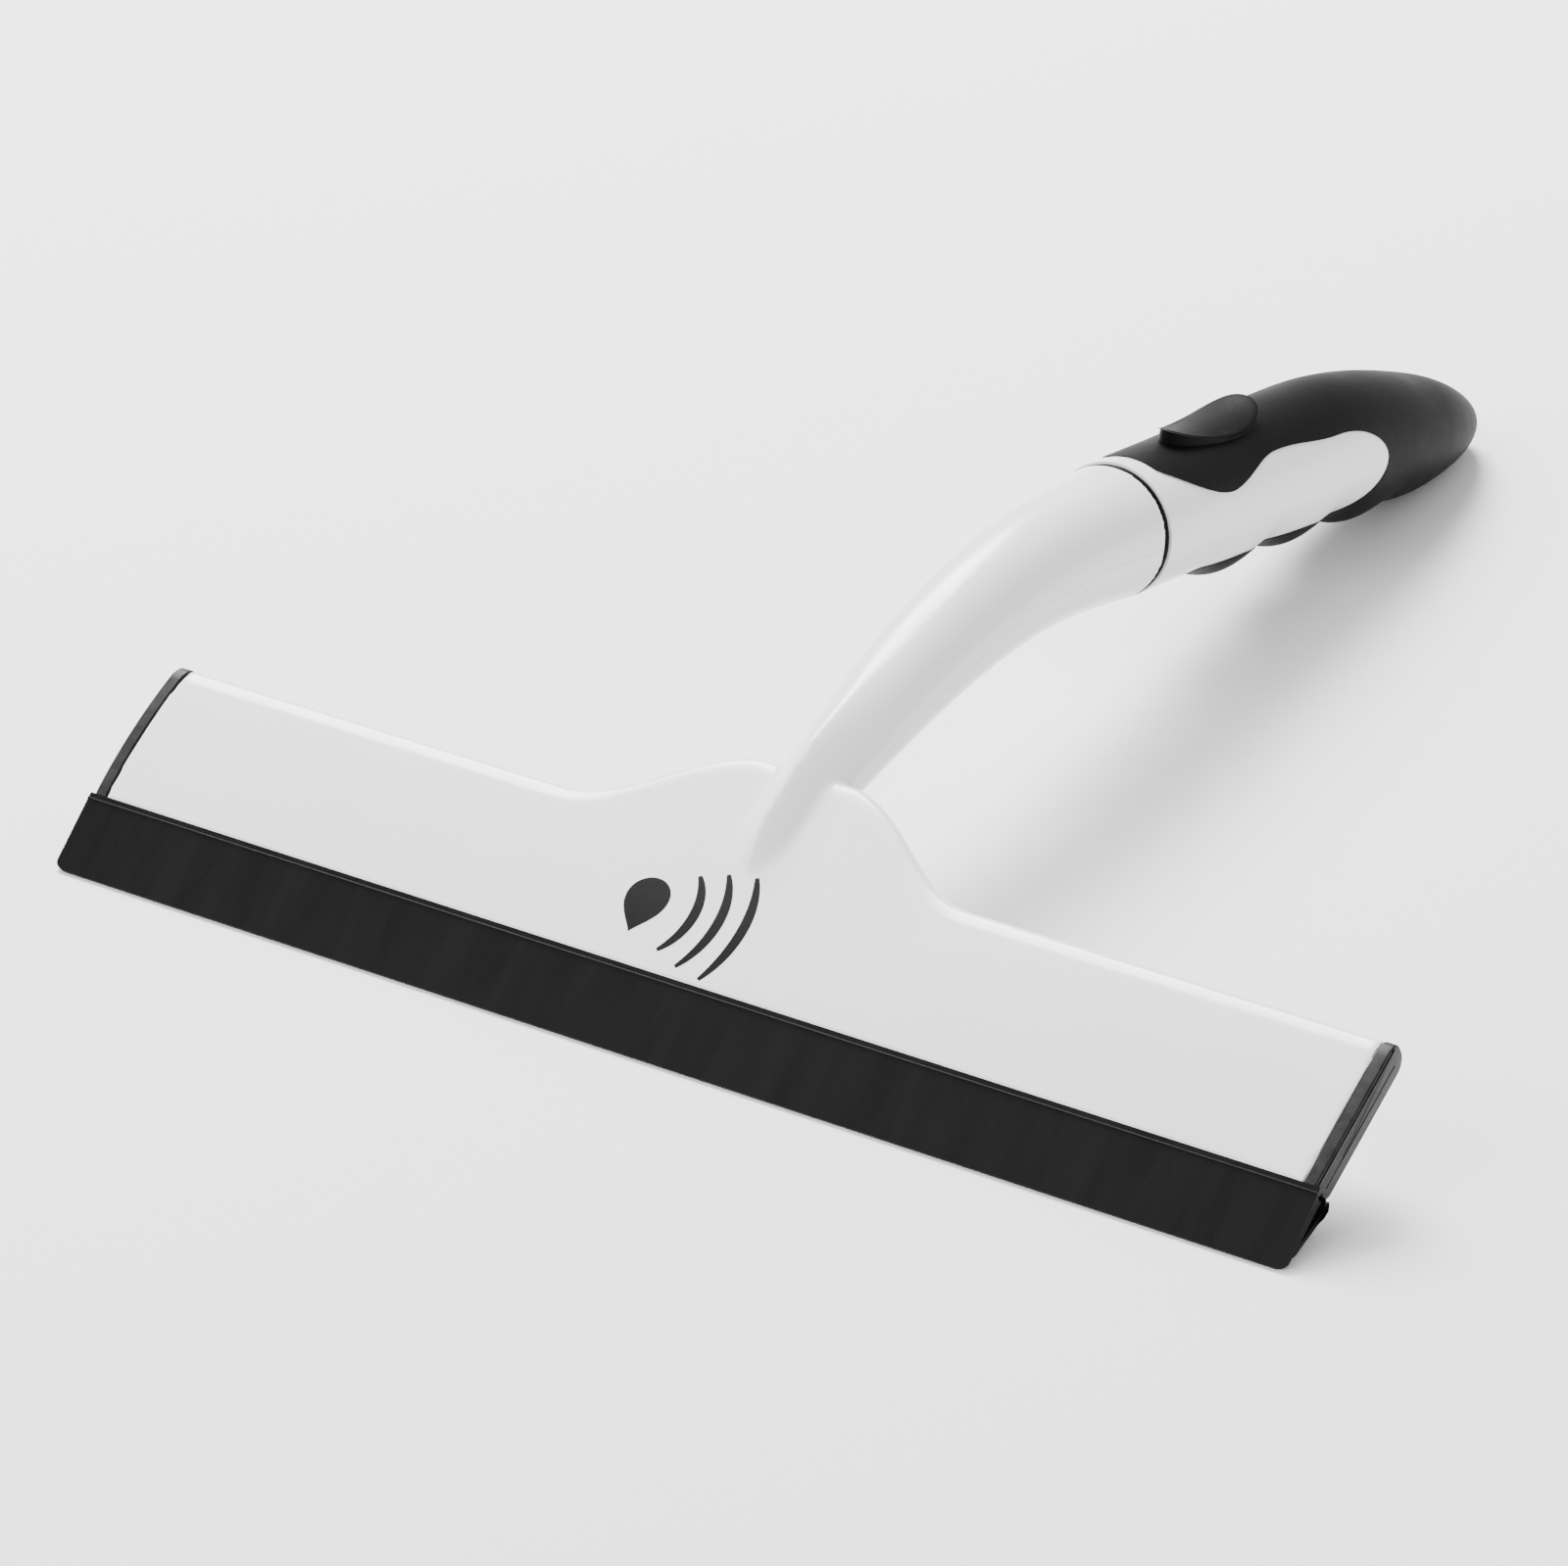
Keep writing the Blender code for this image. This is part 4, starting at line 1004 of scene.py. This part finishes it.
class SQUEEGEE_OT_screws(bpy.types.Operator):
    """Pan-head screws under the head, in the neck and at the joint"""
    bl_idname = "squeegee.screws"
    bl_label = "Screws"

    def execute(self, context):
        places = {}
        for node, x, u in screw_places():
            floor = -settings("head").thickness + 0.95 * MM
            places[node] = head_matrix() @ Matrix.Translation((x, u, floor))
        for node in ("neck_screw", "joint_screw"):
            low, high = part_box(node)
            drop = (high.z - low.z) / 2 - 0.8 * MM
            places[node] = neck_screw_frame(node) @ Matrix.Translation((0, 0, -drop))
        for node, matrix in places.items():
            length = 4 * MM if "_screw_" in node else 6 * MM
            screw = screw_mesh(length)
            squash = Matrix.Diagonal((1.0, 1.0, 0.52, 1.0))
            turn = Matrix.Rotation(0.7 * len(node) + matrix.translation.x * 40, 4, "Z")
            bmesh.ops.transform(screw, matrix=matrix @ squash @ turn, verts=screw.verts)
            finish_piece(node + "_zinc", screw, finish_of(zinc_plate), (node,))
        return {"FINISHED"}


# Joint ring

class SQUEEGEE_OT_joint_ring(bpy.types.Operator):
    """Soft ring in the joint between neck and grip"""
    bl_idname = "squeegee.joint_ring"
    bl_label = "Joint ring"

    def execute(self, context):
        neck = settings("neck")
        centre, tangent, _ = axis_frame(JOINT_BACK)
        crown = 0.3 * MM
        shoulder_radius = neck.joint_radius - neck.ring_inset - crown
        inner, half = neck.joint_radius - 3.2 * MM, neck.ring_width / 2 - 0.03 * MM
        outline = [Vector((inner, 0, -half)), Vector((shoulder_radius, 0, -half))]
        outline += [Vector((shoulder_radius + crown * math.cos(a), 0, half * math.sin(a)))
                    for a in (math.pi * (i / 10 - 0.5) for i in range(1, 10))]
        outline += [Vector((shoulder_radius, 0, half)), Vector((inner, 0, half))]
        ring = bmesh.new()
        verts = [ring.verts.new(p) for p in outline]
        edges = [ring.edges.new(pair) for pair in zip(verts, verts[1:] + verts[:1])]
        bmesh.ops.spin(ring, geom=verts + edges, cent=(0, 0, 0), axis=(0, 0, 1), steps=120,
                       angle=2 * math.pi, use_merge=True)
        bmesh.ops.remove_doubles(ring, verts=ring.verts, dist=0.001 * MM)
        bmesh.ops.recalc_face_normals(ring, faces=ring.faces)
        place = Matrix.Translation(centre) @ tangent.to_track_quat("Z", "Y").to_matrix().to_4x4()
        bmesh.ops.transform(ring, matrix=place, verts=ring.verts)
        finish_piece("joint_ring_seal", ring, finish_of(grip_elastomer),
                     ("joint_ring",))
        return {"FINISHED"}


# Grip

def grip_radii(back):
    """Half width and the rises above and below the axis of the grip's outer surface."""
    grip = settings("grip")
    run = (back - JOINT_BACK) / (LENGTH - JOINT_BACK)
    palm = grip.palm * hump(JOINT_BACK + 80 * MM, 60 * MM, back)
    heel = grip.heel * hump(BUTT_BACK - 18 * MM, 24 * MM, back)
    close = math.sqrt(max(0.0, 1 - max(0.0, (run - 0.62) / 0.38) ** 2.8))
    fingers = sum(grip.finger_depth * hump(JOINT_BACK + grip.first_finger + i * grip.finger_pitch,
                                           grip.finger_pitch / 2, back) for i in range(3))
    flat = 2.4 * MM * smooth_step(JOINT_BACK + 70 * MM, BUTT_BACK - 10 * MM, back)
    return ((grip.waist + 0.4 * palm) * close, (grip.waist + palm - flat) * close,
            (grip.waist - 0.4 * MM + fingers + heel) * close)


def grip_surface(inset, start, end, columns=250, rows=144):
    """A closed body a constant depth under the grip's outer surface."""
    def place(s, t):
        back = start + (end - start) * (1 - (1 - s) ** 1.35)
        centre, _, normal = axis_frame(back)
        wide, above, below = (max(0.0, r - inset) for r in grip_radii(back))
        a = 2 * math.pi * t
        rise = above * math.sin(a) if math.sin(a) > 0 else below * math.sin(a)
        return centre + Vector((wide * math.cos(a), 0, 0)) + normal * rise

    return rolled_grid(columns, rows, place)


def thumb_pad():
    """Thumb rest: a teardrop pad with a slight undercut and a top scooped along its length."""
    grip = settings("grip")
    profile = [(0, -1), (0.6, -1), (0.93, -1), (0.93, 0), (0.935, 0.3), (0.95, 0.6), (0.975, 0.8),
               (0.99, 0.9), (1, 0.95), (0.99, 0.985), (0.96, 1), (0.88, 0.97), (0.78, 0.94),
               (0.65, 0.92), (0.5, 0.9), (0.35, 0.88), (0.2, 0.87), (0.1, 0.87), (0, 0.87)]

    def place(s, t):
        share, level = profile[round(s * (len(profile) - 1))]
        a = 2 * math.pi * t
        if level < 0.95 and share > 0.7:
            share += 1.25 * (1 - share) * smooth_step(0.4, -0.8, math.cos(a))
        along = share * math.cos(a)
        side = math.copysign(abs(math.sin(a)) ** 0.85, math.sin(a))
        across = grip.thumb_width * share * side * (0.77 + 0.23 * math.cos(a))
        back = JOINT_BACK + grip.thumb_back + grip.thumb_length * along
        tip = grip.thumb_rear if along > 0 else grip.thumb_front
        top = grip.thumb_middle + (tip - grip.thumb_middle) * abs(along) ** 2.2
        height = level * top if level >= 0 else -1.2 * MM
        centre, _, normal = axis_frame(back)
        wide, above, _ = grip_radii(back)
        rise = above * math.sqrt(1 - (across / wide) ** 2) + height
        return centre + Vector((across, 0, 0)) + normal * rise

    return rolled_grid(len(profile) - 1, 120, place)


def grip_start():
    """Where the grip begins, behind the joint ring."""
    return JOINT_BACK + settings("neck").ring_width / 2


def panel_block(shrink):
    """Block through the grip in whose outline the core lies bare: collar and side panels."""
    grip = settings("grip")
    end, front = LENGTH - 54 * MM - shrink, grip_start() - 6 * MM
    lobe_length, steps = 17 * MM, 90
    waist_dip, crown, wave = 2.3 * MM, 1.2 * MM, 1.5 * MM
    upper, lower = [], []
    for i in range(steps + 1):
        back = front + (end - front) * math.sin(math.pi / 2 * i / steps)
        centre, _, normal = axis_frame(back)
        lobe = math.sqrt(max(0.0, 1 - max(0.0, (back - end + lobe_length) / lobe_length) ** 2))
        behind = back - JOINT_BACK
        top = grip.panel_rise - waist_dip * smooth_step(42 * MM, 24 * MM, behind)
        top += crown * hump(44 * MM, 20 * MM, behind)
        top += 8.5 * MM * smooth_step(25 * MM, -4 * MM, behind)
        top += 20 * MM * smooth_step(grip.collar + 1.0 * MM, grip.collar - 3.5 * MM, behind)
        drop = grip.panel_drop + 30 * MM * smooth_step(21 * MM, 16 * MM, behind)
        drop -= sum(wave * hump(grip.first_finger + i * grip.finger_pitch - MM,
                                grip.finger_pitch / 2, behind) for i in range(3))
        upper.append(centre + normal * (top * lobe - shrink))
        if i < steps:
            lower.append(centre - normal * (drop * lobe - shrink))
    outline = [Vector((p.y, p.z)) for p in upper + lower[::-1]]
    return drawn_profile(outline, [-40 * MM, 40 * MM])


class SQUEEGEE_OT_grip(bpy.types.Operator):
    """Hard core with its bare panels, and the soft cover with thumb rest and finger swells"""
    bl_idname = "squeegee.grip"
    bl_label = "Grip"

    def execute(self, context):
        grip = settings("grip")
        start, end = grip_start(), LENGTH - 0.7 * MM
        inner, block = 1.6 * MM, panel_block(0.0)
        core = combined(grip_surface(0.0, start, end), block, "INTERSECT")
        core = combined(core, grip_surface(inner, start + 0.5 * MM, end - 9 * MM, 60, 72), "UNION")
        finish_piece("grip_core_moulding", core, finish_of(moulded_abs),
                     ("grip_core",), angle=30)
        cover = combined(grip_surface(-grip.cover_proud, start, end), thumb_pad(), "UNION")
        table = bmesh.new()
        bmesh.ops.create_cube(table, size=1.0)
        bmesh.ops.translate(table, verts=table.verts, vec=(0, 0, -0.5))
        space = grip_surface(inner - 0.05 * MM, start - 2 * MM, end - 8.9 * MM, 60, 72)
        for tool in (space, panel_block(0.03 * MM), table):
            cover = combined(cover, tool, "DIFFERENCE")
        finish_piece("grip_cover_moulding", cover, finish_of(grip_elastomer),
                     ("grip_cover",), angle=40)
        return {"FINISHED"}


# Print on the plate

def stroke(points, width, film):
    """A flat pen stroke along (x, u) points, tapered to both ends, lying on the plate."""
    mesh_data = bmesh.new()
    bmesh.ops.create_grid(mesh_data, x_segments=40, y_segments=2, size=0.5)
    for vert in mesh_data.verts:
        s = vert.co.x + 0.5
        p = follow(points, s)
        along = (follow(points, s + 0.02) - follow(points, s - 0.02)).normalized()
        half = width / 2 * math.sin(math.pi * (0.06 + 0.88 * s)) ** 0.6
        x = p.x - along.y * half * 2 * vert.co.y
        u = p.y + along.x * half * 2 * vert.co.y
        vert.co = Vector((x, u, plate_top(x, u) + film))
    return mesh_data


def drop_mark(centre, radius, film):
    """A filled drop, round below and pointed above, lying on the plate."""
    mesh_data = bmesh.new()
    bmesh.ops.create_circle(mesh_data, cap_ends=True, cap_tris=False, segments=64, radius=radius)
    for vert in mesh_data.verts:
        if vert.co.y < 0:
            pull = 1 - (abs(vert.co.y) / radius) ** 2.2 * 0.9
            vert.co.x *= pull
            vert.co.y *= 1.75
        x, u = centre[0] + vert.co.x, centre[1] + vert.co.y
        vert.co = Vector((x, u, plate_top(x, u) + film))
    return mesh_data


class SQUEEGEE_OT_plate_print(bpy.types.Operator):
    """Generic mark printed on the plate: a drop and three wipe strokes"""
    bl_idname = "squeegee.plate_print"
    bl_label = "Plate print"

    def execute(self, context):
        film = 0.035 * MM
        ink = drop_mark((-14 * MM, 14 * MM), 4.2 * MM, film)
        for i in range(3):
            points = arc((-16 * MM, 13 * MM), (12 + 5 * i) * MM, 42 - 6 * i, -42 + 6 * i, 40)
            ink = joined(ink, stroke(points, 2.0 * MM, film))
        bmesh.ops.triangulate(ink, faces=ink.faces)
        bmesh.ops.recalc_face_normals(ink, faces=ink.faces)
        for face in ink.faces:
            if face.normal.z < 0:
                face.normal_flip()
        bmesh.ops.transform(ink, matrix=head_matrix(), verts=ink.verts)
        finish_piece("plate_print", ink, finish_of(printed_ink))
        return {"FINISHED"}


class SQUEEGEE_OT_inner_parts(bpy.types.Operator):
    """Finish of the rail that holds the beads inside the head"""
    bl_idname = "squeegee.inner_parts"
    bl_label = "Inner rail"

    def execute(self, context):
        rail = frame["nodes"]["blade_rail"]
        rail.data.materials.clear()
        rail.data.materials.append(finish_of(moulded_trim))
        return {"FINISHED"}


# Studio

def soft_light(name, place, target, size, power):
    """A large square lamp at place, aimed at target."""
    lamp = bpy.data.lights.new(name, "AREA")
    lamp.shape = "RECTANGLE"
    lamp.size, lamp.size_y = size
    lamp.energy = power
    light = bpy.data.objects.new(name, lamp)
    light.location = place
    light.rotation_euler = (Vector(target) - Vector(place)).to_track_quat("-Z", "Y").to_euler()
    bpy.context.scene.collection.objects.link(light)


class SQUEEGEE_OT_stage(bpy.types.Operator):
    """Pale floor, soft lights and the camera"""
    bl_idname = "squeegee.stage"
    bl_label = "Studio"

    def execute(self, context):
        scene = context.scene
        floor_data = bmesh.new()
        bmesh.ops.create_grid(floor_data, x_segments=1, y_segments=1, size=3.0)
        mesh = bpy.data.meshes.new("studio_floor")
        floor_data.to_mesh(mesh)
        floor_data.free()
        mesh.materials.append(finish_of(studio_floor))
        floor = bpy.data.objects.new("studio_floor", mesh)
        scene.collection.objects.link(floor)

        world = bpy.data.worlds.new("studio_world")
        world.use_nodes = True
        sky = world.node_tree.nodes["Background"]
        sky.inputs["Color"].default_value = (1.0, 1.0, 1.0, 1.0)
        sky.inputs["Strength"].default_value = 0.95
        scene.world = world
        soft_light("key_light", (-0.8, 0.75, 1.2), (0, 0, 0), (0.8, 0.8), 75)
        soft_light("front_light", (-0.6, -1.2, 1.0), (0, 0, 0.02), (1.2, 1.2), 26)

        camera_data = bpy.data.cameras.new("camera")
        camera_data.lens = 188.1
        camera_data.sensor_width = 36.0
        camera_data.clip_start = 0.05
        camera = bpy.data.objects.new("camera", camera_data)
        azimuth, elevation = math.radians(32.732), math.radians(28.394)
        right = Vector((math.cos(azimuth), math.sin(azimuth), 0))
        back = Vector((math.sin(azimuth) * math.cos(elevation),
                       -math.cos(azimuth) * math.cos(elevation), math.sin(elevation)))
        up = back.cross(right)
        aim, distance = right * (24.46 * MM) + up * (48.37 * MM), 1.4119
        turn = Matrix((right, up, back)).transposed().to_4x4()
        place = Vector((0, EDGE_Y, 0)) + aim + back * distance
        camera.matrix_world = Matrix.Translation(place) @ turn
        scene.collection.objects.link(camera)
        scene.camera = camera
        return {"FINISHED"}


class SQUEEGEE_PT_panel(bpy.types.Panel):
    """Sizes, finishes and the pieces of the squeegee"""
    bl_idname = "SQUEEGEE_PT_panel"
    bl_label = "Window squeegee"
    bl_space_type = "VIEW_3D"
    bl_region_type = "UI"
    bl_category = "Squeegee"

    def draw(self, context):
        for operator in OPERATORS:
            self.layout.operator(operator.bl_idname)
        for name, group in GROUPS.items():
            box = self.layout.box()
            box.label(text=name.title())
            for key in group.__annotations__:
                box.prop(settings(name), key)


GROUPS = {"head": SqueegeeHead, "blades": SqueegeeBlades, "neck": SqueegeeNeck,
          "grip": SqueegeeGrip, "finish": SqueegeeFinish}
OPERATORS = (SQUEEGEE_OT_head_shells, SQUEEGEE_OT_blades, SQUEEGEE_OT_end_caps,
             SQUEEGEE_OT_screws, SQUEEGEE_OT_joint_ring, SQUEEGEE_OT_grip,
             SQUEEGEE_OT_plate_print, SQUEEGEE_OT_inner_parts, SQUEEGEE_OT_stage)


def register():
    for kind in (*GROUPS.values(), *OPERATORS, SQUEEGEE_PT_panel):
        bpy.utils.register_class(kind)
    for name, group in GROUPS.items():
        setattr(bpy.types.Scene, "squeegee_" + name, bpy.props.PointerProperty(type=group))


def unregister():
    for name in GROUPS:
        delattr(bpy.types.Scene, "squeegee_" + name)
    for kind in (SQUEEGEE_PT_panel, *reversed(OPERATORS), *GROUPS.values()):
        bpy.utils.unregister_class(kind)


def main():
    register()
    for operator in OPERATORS:
        family, name = operator.bl_idname.split(".")
        getattr(getattr(bpy.ops, family), name)()


if __name__ == "__main__":
    main()
